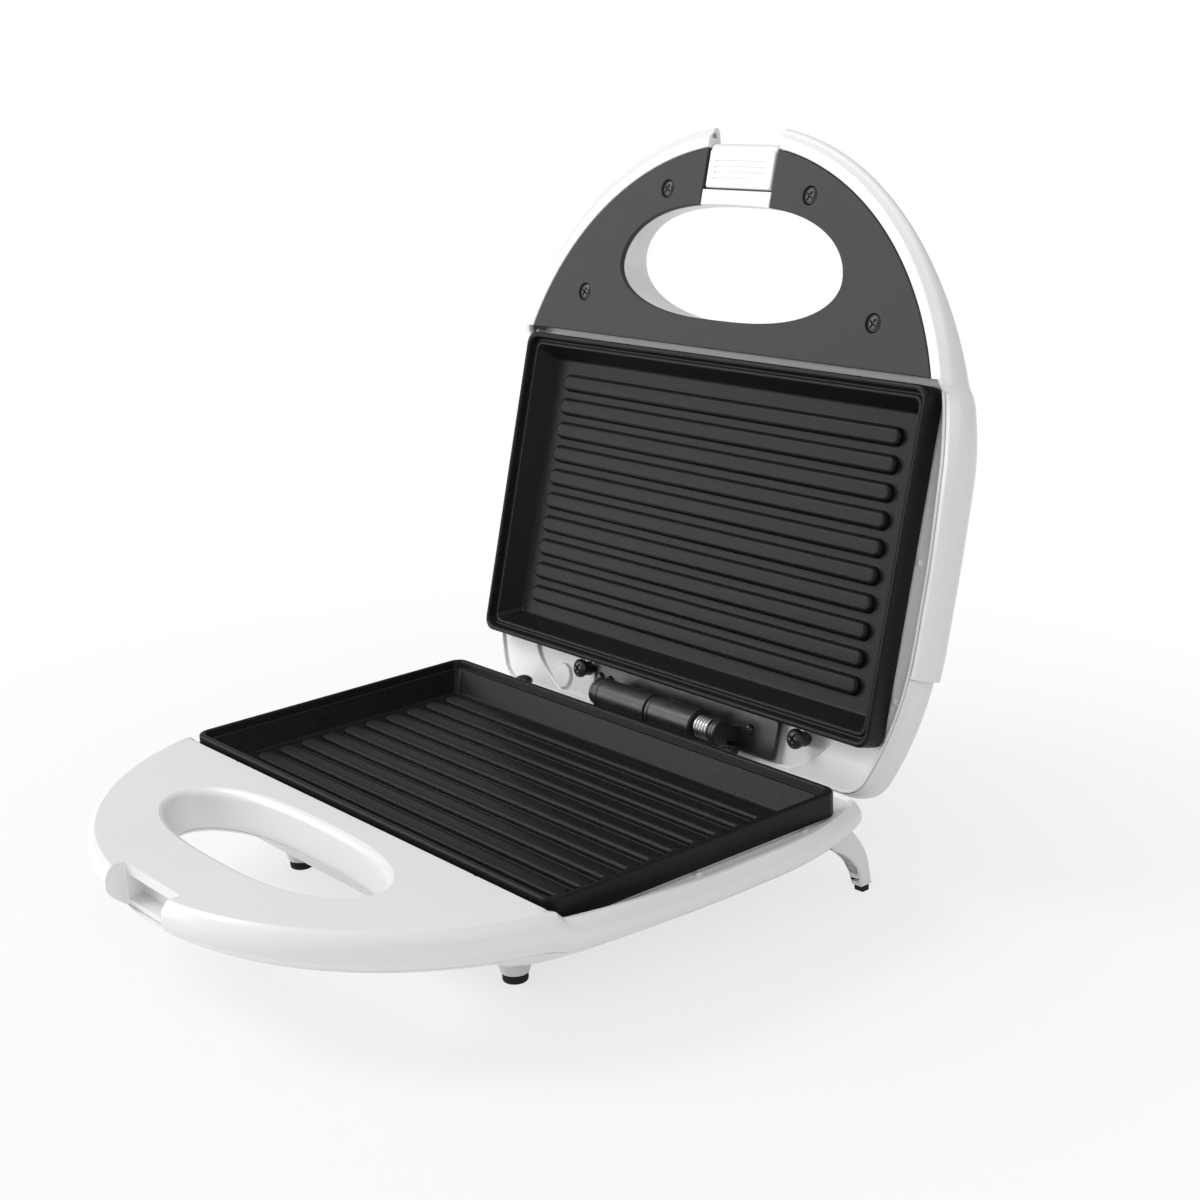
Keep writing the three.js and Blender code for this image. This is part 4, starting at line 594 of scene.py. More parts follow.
def shader(name, rough, metallic=0.0, specular=0.5, coat=0.0):
    material = bpy.data.materials.new(name)
    material.use_nodes = True
    tree = material.node_tree
    bsdf = fill(tree.nodes["Principled BSDF"], {
        "Roughness": rough, "Metallic": metallic, "Specular IOR Level": specular,
        "Coat Weight": coat,
    })
    return material, tree, bsdf


def noise(tree, scale, detail, rough=NOISE_ROUGHNESS):
    tex = new_node(tree, "TexNoise", {"Scale": scale, "Detail": detail, "Roughness": rough})
    tree.links.new(new_node(tree, "TexCoord").outputs["Object"], tex.inputs["Vector"])
    return tex.outputs["Fac"]


def shade_range(tree, factor, low, high):
    ramp = new_node(tree, "ValToRGB")
    for element, position, shade in zip(ramp.color_ramp.elements, TONE_SPAN, (low, high)):
        element.position = position
        element.color = (*shade, 1)
    tree.links.new(factor, ramp.inputs["Fac"])
    return ramp.outputs["Color"]


def number_range(tree, factor, values, span=TONE_SPAN):
    """Number that goes from values[0] to values[1] while factor crosses the span."""
    node = new_node(tree, "MapRange", {
        "From Min": span[0], "From Max": span[1], "To Min": values[0], "To Max": values[1],
    })
    tree.links.new(factor, node.inputs["Value"])
    return node.outputs["Result"]


def bump(tree, bsdf, height, strength, distance):
    node = new_node(tree, "Bump", {"Strength": strength, "Distance": distance})
    tree.links.new(height, node.inputs["Height"])
    tree.links.new(node.outputs["Normal"], bsdf.inputs["Normal"])


def surface(name, low, high, rough, tone_scale, grain, **looks):
    """Surface with uneven tone and gloss and a fine grain of (scale, strength, distance)."""
    material, tree, bsdf = shader(name, rough[0], **looks)
    tone = noise(tree, tone_scale, TONE_DETAIL)
    tree.links.new(shade_range(tree, tone, low, high), bsdf.inputs["Base Color"])
    tree.links.new(number_range(tree, tone, rough), bsdf.inputs["Roughness"])
    scale, *height = grain
    bump(tree, bsdf, noise(tree, scale, GRAIN_DETAIL, GRAIN_ROUGHNESS), *height)
    return material


LENS_ROUGHNESS = 0.12
LENS_TONE = (400, 2)
LENS_GRAIN = (900, 1)
LENS_BUMP = (0.05, 0.0001)


def lens(name, colour):
    material, tree, bsdf = shader(name, LENS_ROUGHNESS, specular=0.6)
    fill(bsdf, {"Transmission Weight": 0.35})
    low = tuple(c * 0.8 for c in colour)
    tone = shade_range(tree, noise(tree, *LENS_TONE), low, colour)
    tree.links.new(tone, bsdf.inputs["Base Color"])
    bump(tree, bsdf, noise(tree, *LENS_GRAIN), *LENS_BUMP)
    return material


SLOT_MATERIALS = {
    "white_plastic": surface(
        "white plastic", (0.82, 0.823, 0.832), (0.835, 0.838, 0.846), rough=(0.27, 0.31),
        tone_scale=14, grain=(2200, 0.02, 0.0001), coat=0.1,
    ),
    "dark_panel": surface(
        "dark panel plastic", (0.038, 0.038, 0.042), (0.047, 0.047, 0.052), rough=(0.5, 0.6),
        tone_scale=90, grain=(2600, 0.25, 0.0001), specular=0.25,
    ),
    "nonstick": surface(
        "nonstick coating", (0.006, 0.006, 0.007), (0.013, 0.013, 0.0147), rough=(0.3, 0.38),
        tone_scale=900, grain=(1700, 0.45, 0.0002), specular=0.14,
    ),
    "black_steel": surface(
        "black painted steel", (0.014, 0.014, 0.016), (0.024, 0.024, 0.026), rough=(0.3, 0.42),
        tone_scale=200, grain=(1200, 0.15, 0.0001),
    ),
    "black_plastic": surface(
        "black plastic", (0.014, 0.014, 0.015), (0.024, 0.024, 0.025), rough=(0.45, 0.58),
        tone_scale=120, grain=(1600, 0.2, 0.0002),
    ),
    "rubber": surface(
        "rubber", (0.011, 0.011, 0.011), (0.02, 0.02, 0.02), rough=(0.75, 0.88),
        tone_scale=200, grain=(1100, 0.4, 0.0002), specular=0.3,
    ),
    "steel": surface(
        "steel", (0.5, 0.5, 0.51), (0.62, 0.62, 0.63), rough=(0.26, 0.38),
        tone_scale=300, grain=(1400, 0.12, 0.0001), metallic=1.0,
    ),
    "aluminised_steel": surface(
        "aluminised sheet", (0.66, 0.67, 0.68), (0.76, 0.77, 0.78), rough=(0.34, 0.5),
        tone_scale=500, grain=(900, 0.2, 0.0002), metallic=1.0,
    ),
    "bakelite": surface(
        "bakelite", (0.56, 0.52, 0.41), (0.66, 0.62, 0.51), rough=(0.55, 0.65),
        tone_scale=300, grain=(1500, 0.2, 0.0001),
    ),
    "wire_sleeve": surface(
        "woven sleeve", (0.66, 0.62, 0.5), (0.8, 0.76, 0.65), rough=(0.75, 0.9),
        tone_scale=1500, grain=(2500, 0.5, 0.0003),
    ),
    "red_lens": lens("red lens", (0.6, 0.02, 0.015)),
    "green_lens": lens("green lens", (0.03, 0.42, 0.12)),
    "lamp_glass": lens("lamp glass", (0.88, 0.92, 0.93)),
}
for row in frame["record"]["subparts"]:
    mesh = frame["nodes"][row["node"]].data
    mesh.materials.clear()
    mesh.materials.append(SLOT_MATERIALS[row["material_slot"]])


# --- grill plates

PAN_PROFILE = [
    (30, 14, 0), (11.3, 14, 1.5), (5.4, 5.5, 1), (2, 5.5, 0.3), (2, 9, 0.2), (0, 9, 0.3),
    (0, 0, 0.95), (2, 0, 0.95), (2.7, 3.1, 0.45), (3.6, 3.1, 0.45), (3.9, 2.5, 0.3),
    (4.9, 2.5, 0.5), (9.7, 11.3, 1.6), (12.5, 11.3, 0),
]
RIB_PROFILE = [
    (4.6, 11.7, 0), (4.6, 11.25, 0), (3.45, 11.2, 0.5), (2.9, 8.85, 2.1), (0.02, 8.8, 0),
]
RIBS = 10
RIB_PITCH = 9.952
RIB_HALF_LENGTH = 90.5
RIB_END_STEPS = 14


def grill_plate(name):
    pan = loft(name, [ring(plate_outline(inset), w) for inset, w in rounded(PAN_PROFILE, 4)])
    ribs = []
    for i in range(RIBS):
        y = (i - (RIBS - 1) / 2) * RIB_PITCH
        rings = []
        for radius, w in rounded(RIB_PROFILE, 7):
            right = arc(RIB_HALF_LENGTH, y, radius, -math.pi / 2, math.pi / 2, RIB_END_STEPS)
            left = arc(-RIB_HALF_LENGTH, y, radius, math.pi / 2, math.pi * 1.5, RIB_END_STEPS)
            rings.append(ring(np.concatenate([right, left]), w))
        ribs.append(loft("rib", rings))
    return combine(pan, add(*ribs))


for half, body in (("lower", "base"), ("upper", "lid")):
    plate = grill_plate(f"{half}_plate_cast")
    finish_piece(plate, body, "nonstick", f"{half}_plate", angle=PLATE_SHARP_ANGLE)


# --- lid shells

RIM_JOIN = 3
LID_FINGER_EDGE = 2.4
BAND_OFFSET = 0.9
BAND_END_W = 5.5
SLEEVE_WALL = 2.2
SLEEVE_SINK = 0.9
BRIDGE_Y = -122.6
BRIDGE_HALF = 3.8
CHEEK_Y = -140.6
CHEEK_HALF_X = 2.2
CHEEK_HALF_Y = 5
CHEEK_SINK = 0.4
NOTCH_REACH = 30
NOTCH_END_W = 7.9
LAMP_HOLE_R = 3.9
FRAME_HOLE_R = 1.8
NUB_X = 110.9
NUB_TOP_W = 9.4
NUB_SINK = 0.5
NUB_PLACES_Y = (-53.0, -3.4, 46.0)
POCKET_EDGE = [
    (86.0, 63.4), (84.3, 67.7), (81.3, 71.3), (77.0, 74.6), (72.0, 77.7), (66.1, 80.8),
]
POCKET_MIDDLE = (0.0, 71.1)
POCKET_REACH = (75.0, 9.0)
POCKET_END_W = 11.7
BOSS_AT = (-67.0, 75.3)
BOSS_R = 5.2
BOSS_TOP_W = 10.4
BOSS_SINK = 0.2
CROSS_WIDTH_SHARE = 0.2
CROSS_TIP_SHARES = (0.55, 0.7)
CROSS_ABOVE = 0.4
PANEL_NOTCH_REACH = 40
PANEL_SINK_R = 3.55
PANEL_SINK_DEPTH = 1.7
SCREW_BORE_R = 1.7


def skin_depth(rim, crown, nominal, nominal_height):
    """Depth of a skin point: the first millimetre is kept, the rest follows the crown."""
    nominal = np.asarray(nominal, float)
    rest = (nominal - 1) * (crown - rim - 1) / (nominal_height - 1)
    return rim + np.where(nominal < 1, nominal, 1 + rest)


def lid_depth(y, nominal):
    return skin_depth(lid_rim(y), lid_crown(y), nominal, LID_HEIGHT)


def lid_curve(steps):
    curve = spline(LID_CURVE, steps)
    curve[:, 0] = np.minimum(curve[:, 0], LID_REACH)
    curve[:, 1] = np.clip(curve[:, 1], 0, LID_HEIGHT)
    return curve


def lid_skin(offset, nominal, step, sink=0.0):
    return ring(housing(offset - step), lambda y: lid_depth(y, nominal) - sink)


def lid_shell(name, step):
    """Lid from the inside over the rim to the outside, drawn in by a step."""
    outer = lid_curve(5)
    rings = [
        lid_skin(offset - LID_WALL, nominal, step, LID_WALL * nominal / LID_HEIGHT)
        for offset, nominal in lid_curve(2)[::-1] if nominal > LID_INNER_START
    ]
    rim = rounded([*LID_RIM, (*outer[RIM_JOIN], 0)], 4)
    rings += [lid_skin(offset, nominal, step) for offset, nominal in (*rim, *outer[RIM_JOIN + 1:])]
    return loft(name, rings)


def lid_surface(outline):
    """Depth of the lid's outer skin over plan points in front of the plate."""
    curve = lid_curve(8)
    falling = curve[curve[:, 1] > LID_FRONT_START]
    offset = np.hypot(outline[:, 0], (outline[:, 1] - FRONT_Y) * RIM_R / FRONT_REACH) - RIM_R
    nominal = np.interp(offset, falling[::-1, 0], falling[::-1, 1])
    return lid_depth(outline[:, 1], nominal)


def on_lid(outline, by):
    """Outline points at a distance from the lid's outer skin."""
    return np.column_stack([outline, lid_surface(outline) + by])


def lid_finger_tool():
    rings = [ring(lid_finger(0), -THROUGH)]
    for inset, rise in reversed(hole_edge(LID_FINGER_EDGE, 6, 8)):
        rings.append(on_lid(lid_finger(-inset), -rise))
    rings.append(on_lid(lid_finger(-LID_FINGER_EDGE - OVERRUN), OVERRUN))
    return loft("tool", rings)


def grown(offset):
    """A function that gives the housing's outline grown by offset, drawn in by an inset."""
    return lambda inset: housing(offset - inset)


def lid_cover():
    seat = PANEL_W + PANEL_THICK + GAP
    shell = lid_shell("lid_cover_shell", 0)
    well = grown(PANEL_R + GAP - RIM_R)
    band = combine(
        block("band", grown(BAND_OFFSET), PANEL_W, BAND_END_W, 0.3),
        cut(block("tool", well, -THROUGH, THROUGH), cutter(well, PANEL_W, THROUGH, 0.5)),
        keep(ahead_of(PANEL_REAR_Y)),
    )
    outer = lid_finger(-SLEEVE_WALL)
    plug = loft("plug", [ring(outer, seat), on_lid(outer, -SLEEVE_SINK)])
    plan = rectangle(NOTCH_HALF - GAP, BRIDGE_HALF, 0.4, cy=BRIDGE_Y)
    bridge = block("bridge", plan, PANEL_W, seat + GAP, 0.5)
    cheeks = []
    for side in (1, -1):
        x = side * (NOTCH_HALF + CHEEK_HALF_X)
        plan = rectangle(CHEEK_HALF_X, CHEEK_HALF_Y, 0.5, cx=x, cy=CHEEK_Y)(0)
        end = np.maximum(lid_surface(plan) - CHEEK_SINK, seat + GAP)
        cheeks.append(loft("cheek", [ring(plan, seat), np.column_stack([plan, end])]))
    plan = rectangle(NOTCH_HALF, NOTCH_REACH, 1.2, cy=NOTCH_REAR_Y - NOTCH_REACH)
    notch_room = cutter(plan, PANEL_W, NOTCH_END_W, 0.6)
    lamps = [
        cutter(circle(LAMP_HOLE_R, side * LAMP_X, LAMP_Y), THROUGH, CROWN_W, 0, 0.6)
        for side in (1, -1)
    ]
    return combine(
        shell, add(band, plug, *cheeks), cut(notch_room), add(bridge),
        cut(lid_finger_tool(), *lamps, below(-FAR, SEAM_Y - GAP / 2)),
    )


def lid_rear_cover():
    shell = lid_shell("lid_rear_shell", REAR_STEP)
    room = block("tool", grown(FRAME_OFFSET + GAP), -THROUGH, SKIRT_W + GAP)
    return combine(shell, cut(room, ahead_of(SEAM_Y + GAP / 2)))


def hole(radius, x, y, top, end):
    """Plain round prism, for holes and posts."""
    return prism(circle(radius, x, y, HOLE_STEPS)(0), top, end)


def plate_room():
    return prism(plate_outline(-PLATE_ROOM), -THROUGH, FLOOR_W - FLOOR_SINK)


def frame_openings():
    """Plate opening and two screw holes through a frame's floor."""
    opening = prism(plate_outline(FRAME_OPENING_INSET), OPENING_TOP_W, THROUGH)
    holes = [hole(FRAME_HOLE_R, x, FRAME_SCREW_Y, OPENING_TOP_W, THROUGH) for x in FRAME_SCREWS_X]
    return [opening, *holes]


def nubs():
    """Small ridges of a frame's floor that centre the plate."""
    out = []
    for y in NUB_PLACES_Y:
        for side in (1, -1):
            plan = rectangle(0.5, 1.2, 0.35, cx=side * NUB_X, cy=y, steps=4)
            out.append(block("nub", plan, NUB_TOP_W, FLOOR_W + NUB_SINK, 0.35))
    return out


def rear_pocket():
    """Shallow pocket of the frame's floor behind the plate, with curved ends."""
    right = spline(POCKET_EDGE, 6)
    spots = np.concatenate([right, right[::-1] * (-1, 1)])
    middle = np.array(POCKET_MIDDLE)

    def outline(inset):
        return middle + (spots - middle) * (1 - inset / np.array(POCKET_REACH))
    return cutter(outline, FLOOR_W, POCKET_END_W, 0.6)


def frame_rim(y):
    """Rim of the lid's frame, which doesn't step up to the insert panel."""
    return lid_rim(np.maximum(y, STEP_REAR_Y))


def lid_frame():
    lip = FRAME_OFFSET - LIP
    section = [
        (FRAME_INNER_OFFSET, FLOOR_END_W), (lip, FLOOR_END_W), (lip, SKIRT_W),
        (FRAME_OFFSET, SKIRT_W),
    ]
    for drop, inset in full_edge(LIP_EDGE):
        section.append((FRAME_OFFSET - inset, shifted(frame_rim, drop)))
    for inset, drop in full_edge(LIP_EDGE):
        section.append((lip + inset, shifted(frame_rim, drop)))
    section += [
        (lip, FLOOR_W - FLOOR_EDGE), (lip - FLOOR_EDGE, FLOOR_W), (FRAME_INNER_OFFSET, FLOOR_W),
    ]
    body = loft("lid_frame_moulded", [ring(housing(offset), depth) for offset, depth in section])
    panel_room = ahead_of(PANEL_REAR_Y + LIP, FLOOR_W - FLOOR_SINK)
    boss = block("boss", circle(BOSS_R, *BOSS_AT), BOSS_TOP_W, FLOOR_END_W - BOSS_SINK, 0.5)
    return combine(
        body, cut(plate_room(), panel_room, rear_pocket()), add(*nubs(), boss),
        cut(*frame_openings(), ahead_of(FRAME_FRONT_Y)),
    )


def cross_tool(radius, top, depth):
    """Tapered cross recess as two crossed wedges."""
    width = radius * CROSS_WIDTH_SHARE
    share_x, share_y = CROSS_TIP_SHARES
    arms = []
    for half_x, half_y in ((radius, width), (width, radius)):
        wide = rectangle(half_x, half_y, 0.05, steps=2)(0)
        tip = rectangle(half_x * share_x, half_y * share_y, 0.03, steps=2)(0)
        rings = [ring(wide, top - CROSS_ABOVE), ring(wide, top), ring(tip, top + depth)]
        arms.append(loft("tool", rings))
    return combine(arms[0], add(arms[1]))


def insert_panel():
    panel = block("insert_panel_moulded", panel_outline, PANEL_W, PANEL_W + PANEL_THICK, 0.5, 0.2)
    opening = cutter(lid_finger, PANEL_W, THROUGH, 0.5)
    plan = rectangle(NOTCH_HALF, PANEL_NOTCH_REACH, 0.8, cy=PANEL_NOTCH_Y - PANEL_NOTCH_REACH)
    notch = cutter(plan, PANEL_W, THROUGH, 0.35)
    sinks = [
        cutter(circle(PANEL_SINK_R, x, y), PANEL_W, PANEL_W + PANEL_SINK_DEPTH, 0.25)
        for x, y in PANEL_SCREWS
    ]
    bores = [hole(SCREW_BORE_R, x, y, 0, THROUGH) for x, y in PANEL_SCREWS]
    return combine(panel, cut(opening, notch, *sinks, *bores))


lid_parts = (
    (lid_cover, "lid_cover"), (lid_rear_cover, "lid_rear_cover"), (lid_frame, "lid_inner_frame"),
)
for build, node in lid_parts:
    finish_piece(build(), "lid", "white_plastic", node)
finish_piece(insert_panel(), "lid", "dark_panel", "lid_insert_panel")


# --- base shells

RECESS_ABOVE = 4
RECESS_OVERLAP = 0.05
POCKET_SIDE = 0.4
POCKET_ABOVE_SPLIT = 2
NOTCH_BLOCK_REACH = 20
BASE_SLEEVE_WALL = 2
POST_R = 4
POST_OVERLAP = 0.05
HEAD_SINK_R = 3.1
HEAD_SINK_W = 27
GLAND_BOSS = [(74, 0), (74, 7.4), (84, 7.4), (84.8, 6.6), (84.8, 0)]
GLAND_BORE_R = 4.9
GLAND_BORE_Y = (68.4, 96.4)


def base_skin(offset, nominal, sink=0.0):
    def depth(y):
        return skin_depth(base_rim(y), BASE_END_W, nominal, BASE_HEIGHT) - sink
    return ring(housing(offset), depth)


def base_solid(wall, steps):
    """Full form of the base, drawn in by a wall."""
    curve = spline(BASE_CURVE, steps)
    curve[:, 0] = np.minimum(curve[:, 0], BASE_REACH)
    rings = [ring(housing(offset - wall), HANDLE_W) for offset in BASE_LEVEL_OFFSETS]
    rings += [base_skin(offset - wall, 0) for offset in BASE_RIM_OFFSETS]
    rim = rounded([*BASE_RIM, (*curve[RIM_JOIN], 0)], 5)[1:]
    rings += [
        base_skin(offset - wall, nominal, wall * nominal / BASE_HEIGHT)
        for offset, nominal in (*rim, *curve[RIM_JOIN + 1:])
    ]
    return loft("solid", rings)


def tub_region(wall):
    """Everything behind the sloped front of the tub, as a prism along x."""
    front = TUB_Y + wall
    rear = front + TUB_SLOPE
    spots = np.array([
        (front, UNDER_W - TUB_ABOVE_UNDER), (front, UNDER_W - 2 * BASE_WALL), (rear, BASE_END_W),
        (rear, DEEP), (TUB_FAR, DEEP), (TUB_FAR, -DEEP), (front, -DEEP),
    ], float)
    ends = [np.column_stack([np.full(len(spots), x), spots]) for x in (-TUB_FAR, TUB_FAR)]
    return loft("tool", ends)


def base_outer():
    under = combine(above(UNDER_W), add(tub_region(0)))
    outer = combine(base_solid(0, 5), keep(under))
    return combine(outer, cut(above(SPLIT_W, SHELF_Y)))


def base_cavity():
    inner = base_solid(BASE_WALL, 2)
    front = RECESS_Y - RECESS_WALL
    handle = box(-FAR, FAR, -FAR, front, HANDLE_W + BASE_WALL, SPLIT_W + GAP)
    half = NOTCH_HALF + RECESS_WALL
    wall = box(-half, half, -FAR, CLIP_WALL_Y, -FAR, FAR)
    plate = combine(
        below(FLOOR_END_W, RECESS_Y - RECESS_OVERLAP),
        keep(combine(above(UNDER_W - BASE_WALL), add(tub_region(BASE_WALL)))),
    )
    rooms = combine(plate, add(combine(handle, cut(wall))))
    rear_room = above(SPLIT_W + GAP + BASE_WALL, SHELF_Y - BASE_WALL)
    return combine(inner, keep(rooms), cut(rear_room))


def recess_tool():
    """Room for the lower plate, with rounded lips that follow the rim's height."""
    def outline(inset):
        return housing(RECESS_OFFSET - inset, RECESS_Y + inset)

    rings = [ring(outline(-RECESS_EDGE - OVERRUN), HANDLE_W - RECESS_ABOVE)]
    for inset, drop in hole_edge(RECESS_EDGE):
        rings.append(ring(outline(-inset), shifted(base_rim, drop)))
    rings += [ring(outline(0), FLOOR_W - FLOOR_EDGE), ring(outline(FLOOR_EDGE), FLOOR_W)]
    return loft("tool", rings)


def notch_tools():
    """Notch at the front centre and the pocket behind it that the clip hooks into."""
    half = NOTCH_HALF - POCKET_SIDE
    end = SPLIT_W - POCKET_ABOVE_SPLIT
    pocket = box(-half, half, -FAR, CLIP_POCKET_Y, HANDLE_W + CLIP_LEDGE, end)
    plan = rectangle(NOTCH_HALF, NOTCH_BLOCK_REACH, 1.0, cy=BASE_NOTCH_Y - NOTCH_BLOCK_REACH)
    return [block("tool", plan, -FAR, FAR), pocket]


def at_bottom_screws(radius, top, end):
    return [hole(radius, x, y, top, end) for x, y in BOTTOM_SCREWS]


def base_shells():
    """Upper and lower shell of the base, cut from one hollow solid."""
    outer = base_outer()
    cavity = base_cavity()
    sleeve = prism(base_finger(-BASE_SLEEVE_WALL), -DEEP, DEEP)
    hollow = combine(copy(outer), cut(copy(cavity)), add(combine(sleeve, keep(copy(outer)))))
    room = combine(recess_tool(), add(plate_room()))
    finger = cutter(base_finger, HANDLE_W, UNDER_W, 3.2, 5.0)

    top = copy(hollow)
    top.name = "base_top_moulded"
    posts = at_bottom_screws(POST_R, FLOOR_END_W - POST_OVERLAP, SPLIT_W)
    bores = at_bottom_screws(SCREW_BORE_R, 0, DEEP)
    top = combine(
        top, cut(room), add(*nubs(), *posts), cut(below(SPLIT_W)),
        cut(*frame_openings(), copy(finger), *bores, *notch_tools()),
    )

    low = hollow
    low.name = "base_bowl_moulded"
    gland_place = along_y(GLAND_X, GLAND_W)
    boss = combine(lathe("gland boss", GLAND_BOSS, gland_place), cut(copy(cavity)))
    posts = [
        combine(post, keep(copy(outer))) for post in at_bottom_screws(POST_R, SPLIT_W, DEEP)
    ]
    bores = at_bottom_screws(SCREW_BORE_R, 0, DEEP)
    sinks = at_bottom_screws(HEAD_SINK_R, HEAD_SINK_W, DEEP)
    low = combine(
        low, add(boss, *posts), cut(above(SPLIT_W + GAP)), cut(finger, *bores, *sinks),
        cut(bore(GLAND_BORE_R, *GLAND_BORE_Y, gland_place)),
    )
    for leftover in (outer, cavity):
        bpy.data.objects.remove(leftover)
    return top, low


base_top, base_low = base_shells()
finish_piece(base_top, "base", "white_plastic", "base_housing")
finish_piece(base_low, "base", "white_plastic", "base_bottom")


# --- screws, hinge, latch and feet

CROWN_SHARE = 0.55
SHOULDER_SHARE = 0.45
SCREW_TIP = 1
SCREW_TIP_SHARE = 0.4
SCREW_STEPS = 40
CROSS_SHARE = 0.6
CROSS_DEPTH_SHARE = 0.55
CROSS_TURN = 0.5


def pan_head(node, body, x, y, top, end, head_r, head_h, shank_r, collar=None, turn=None):
    """Screw with a domed cross head. collar is its radius and the depth that it reaches."""
    under = top + head_h
    points = [
        (top, 0, 0), (top, head_r * CROWN_SHARE, 2.0),
        (top + head_h * SHOULDER_SHARE, head_r, 0.9), (under, head_r, 0.25),
    ]
    if collar:
        collar_r, collar_end = collar
        points += [(under, collar_r, 0), (collar_end, collar_r, 0.2), (collar_end, shank_r, 0)]
    else:
        points += [(under, shank_r, 0)]
    points += [(end - SCREW_TIP, shank_r, 0), (end, shank_r * SCREW_TIP_SHARE, 0), (end, 0, 0)]
    screw = lathe(f"{node}_turned", rounded(points, 4), along_w(x, y), SCREW_STEPS)
    tool = cross_tool(head_r * CROSS_SHARE, top, head_h * CROSS_DEPTH_SHARE)
    tool.data.transform(along_w(x, y) @ Matrix.Rotation(CROSS_TURN, 4, "Z"))
    combine(screw, cut(tool))
    if turn:
        screw.data.transform(turn)
    finish_piece(screw, body, "black_steel", node)


for half, top in (("base", 1.2), ("lid", 3)):
    for i, x in enumerate(FRAME_SCREWS_X, 1):
        pan_head(
            f"{half}_frame_screw_{i}", half, x, FRAME_SCREW_Y, top, end=16.6, head_r=3.8,
            head_h=2.6, shank_r=1.5, collar=(2.9, FLOOR_W - GAP),
        )
for i, (x, y) in enumerate(PANEL_SCREWS, 1):
    pan_head(
        f"insert_screw_{i}", "lid", x, y, PANEL_W, end=8, head_r=3.3, head_h=1.4, shank_r=1.4,
    )
for i, (x, y) in enumerate(BOTTOM_SCREWS, 1):
    pan_head(
        f"bottom_screw_{i}", "base", x, -y, -28.8, end=-12.4, head_r=2.8, head_h=1.4,
        shank_r=1.4, turn=Matrix.Rotation(math.pi, 4, "X"),
    )

KNUCKLE_R = 6.5
SHORT_KNUCKLE_R = 5.2
SHORT_KNUCKLE = 10
KNUCKLE_BAND = 1.6
KNUCKLE_BAND_END = 1.9
KNUCKLE_STEPS = 56
BRACKET_END_W = FLOOR_W - GAP
BRACKET_SHEET = 1.6
BRACKET_BORE_R = 2.8
BRACKET_BORE_END = 40.3
ARM_HALF = 2.8
ARM_SINK = 0.2
RIVET_STEPS = 28
RIVET_PROFILE = [(-3.2, 0, 0), (-3.0, 1.6, 1.2), (-1.2, 2.3, 0.3), (-1.2, 0, 0)]
LID_RIVETS = ((-40.5, 70.4), (-34.5, 70.6), (46, 71.4))
PIN_ENDS = (-32.9, 40)
PIN_R = 2.4
COIL_STEPS = 44
COIL_SIDES = 14


def knuckle(start, end):
    """Rolled eye of a bracket with a raised band at both ends, smaller where it is short."""
    radius = KNUCKLE_R if end - start > SHORT_KNUCKLE else SHORT_KNUCKLE_R
    band, groove = radius - 0.1, radius - 0.4
    return lathe("knuckle", rounded([
        (start, 0, 0), (start, band, 0.5), (start + KNUCKLE_BAND, band, 0.2),
        (start + KNUCKLE_BAND_END, groove, 0.2), (end - KNUCKLE_BAND_END, groove, 0.2),
        (end - KNUCKLE_BAND, band, 0.2), (end, band, 0.5), (end, 0, 0),
    ], 3), along_x(HINGE_Y, 0), KNUCKLE_STEPS)


def bracket(body_name, knuckles, foot, front_arm, rear_arm, rivets=()):
    """Hinge sheet over the span of its foot, with an arm and an eye for each knuckle."""
    half_y = (front_arm + rear_arm) / 2
    middle = ((foot[0] + foot[1]) / 2, HINGE_Y + rear_arm - half_y)
    plan = rectangle((foot[1] - foot[0]) / 2, half_y, 1.6, *middle)
    top = BRACKET_END_W - BRACKET_SHEET
    sheet = block(f"{body_name}_bracket_pressed", plan, top, BRACKET_END_W, 0.4)
    dome = rounded([(BRACKET_END_W + w, *rest) for w, *rest in RIVET_PROFILE], 3)
    for x, y in rivets:
        combine(sheet, add(lathe("rivet", dome, along_w(x, y), RIVET_STEPS)))
    parts = []
    for start, end in knuckles:
        eye = knuckle(start, end)
        eye.data.transform(Matrix.Translation((0, 0, HINGE_W)))
        arm = rectangle((end - start) / 2, ARM_HALF, 0.5, cx=(start + end) / 2, cy=HINGE_Y)
        parts += [eye, block("arm", arm, HINGE_W, BRACKET_END_W - ARM_SINK)]
    pin_room = bore(BRACKET_BORE_R, -DEEP, BRACKET_BORE_END, along_x(HINGE_Y, HINGE_W))
    combine(sheet, add(*parts), cut(pin_room))
    finish_piece(sheet, body_name, "black_steel", f"{body_name}_hinge_bracket")


def coil(name, start, end, radius, wire, curls):
    steps = COIL_STEPS * curls
    rings = []
    for i in range(steps + 1):
        turn = 2 * math.pi * i / COIL_STEPS
        x = start + wire + (end - start - 2 * wire) * i / steps
        spin = np.arange(COIL_SIDES) / COIL_SIDES * 2 * math.pi
        out = radius + wire * np.cos(spin)
        along = x + wire * np.sin(spin)
        rings.append(np.stack([along, out * math.cos(turn), out * math.sin(turn)], 1))
    return loft(name, rings)


bracket(
    "base", knuckles=[(-28.4, -3.4), (27.8, 31.3)], foot=(-41, 44.5), front_arm=5.4,
    rear_arm=2.8,
)
# The lid's sheet is its real bracket behind the knuckles. Past them it runs on to x = 60 as a dark sheet that
# stands in for painted shade behind the hinge.
bracket(
    "lid", knuckles=[(-27, 2.6), (37.6, 41)], foot=(-44.5, 60), front_arm=9.2, rear_arm=6,
    rivets=LID_RIVETS,
)


def round_bar(name, start, end, radius, place, steps=ROUND_STEPS):
    """Bar with rounded ends."""
    profile = [(start, 0, 0), (start, radius, 0.5), (end, radius, 0.5), (end, 0, 0)]
    return lathe(name, rounded(profile, 4), place, steps)


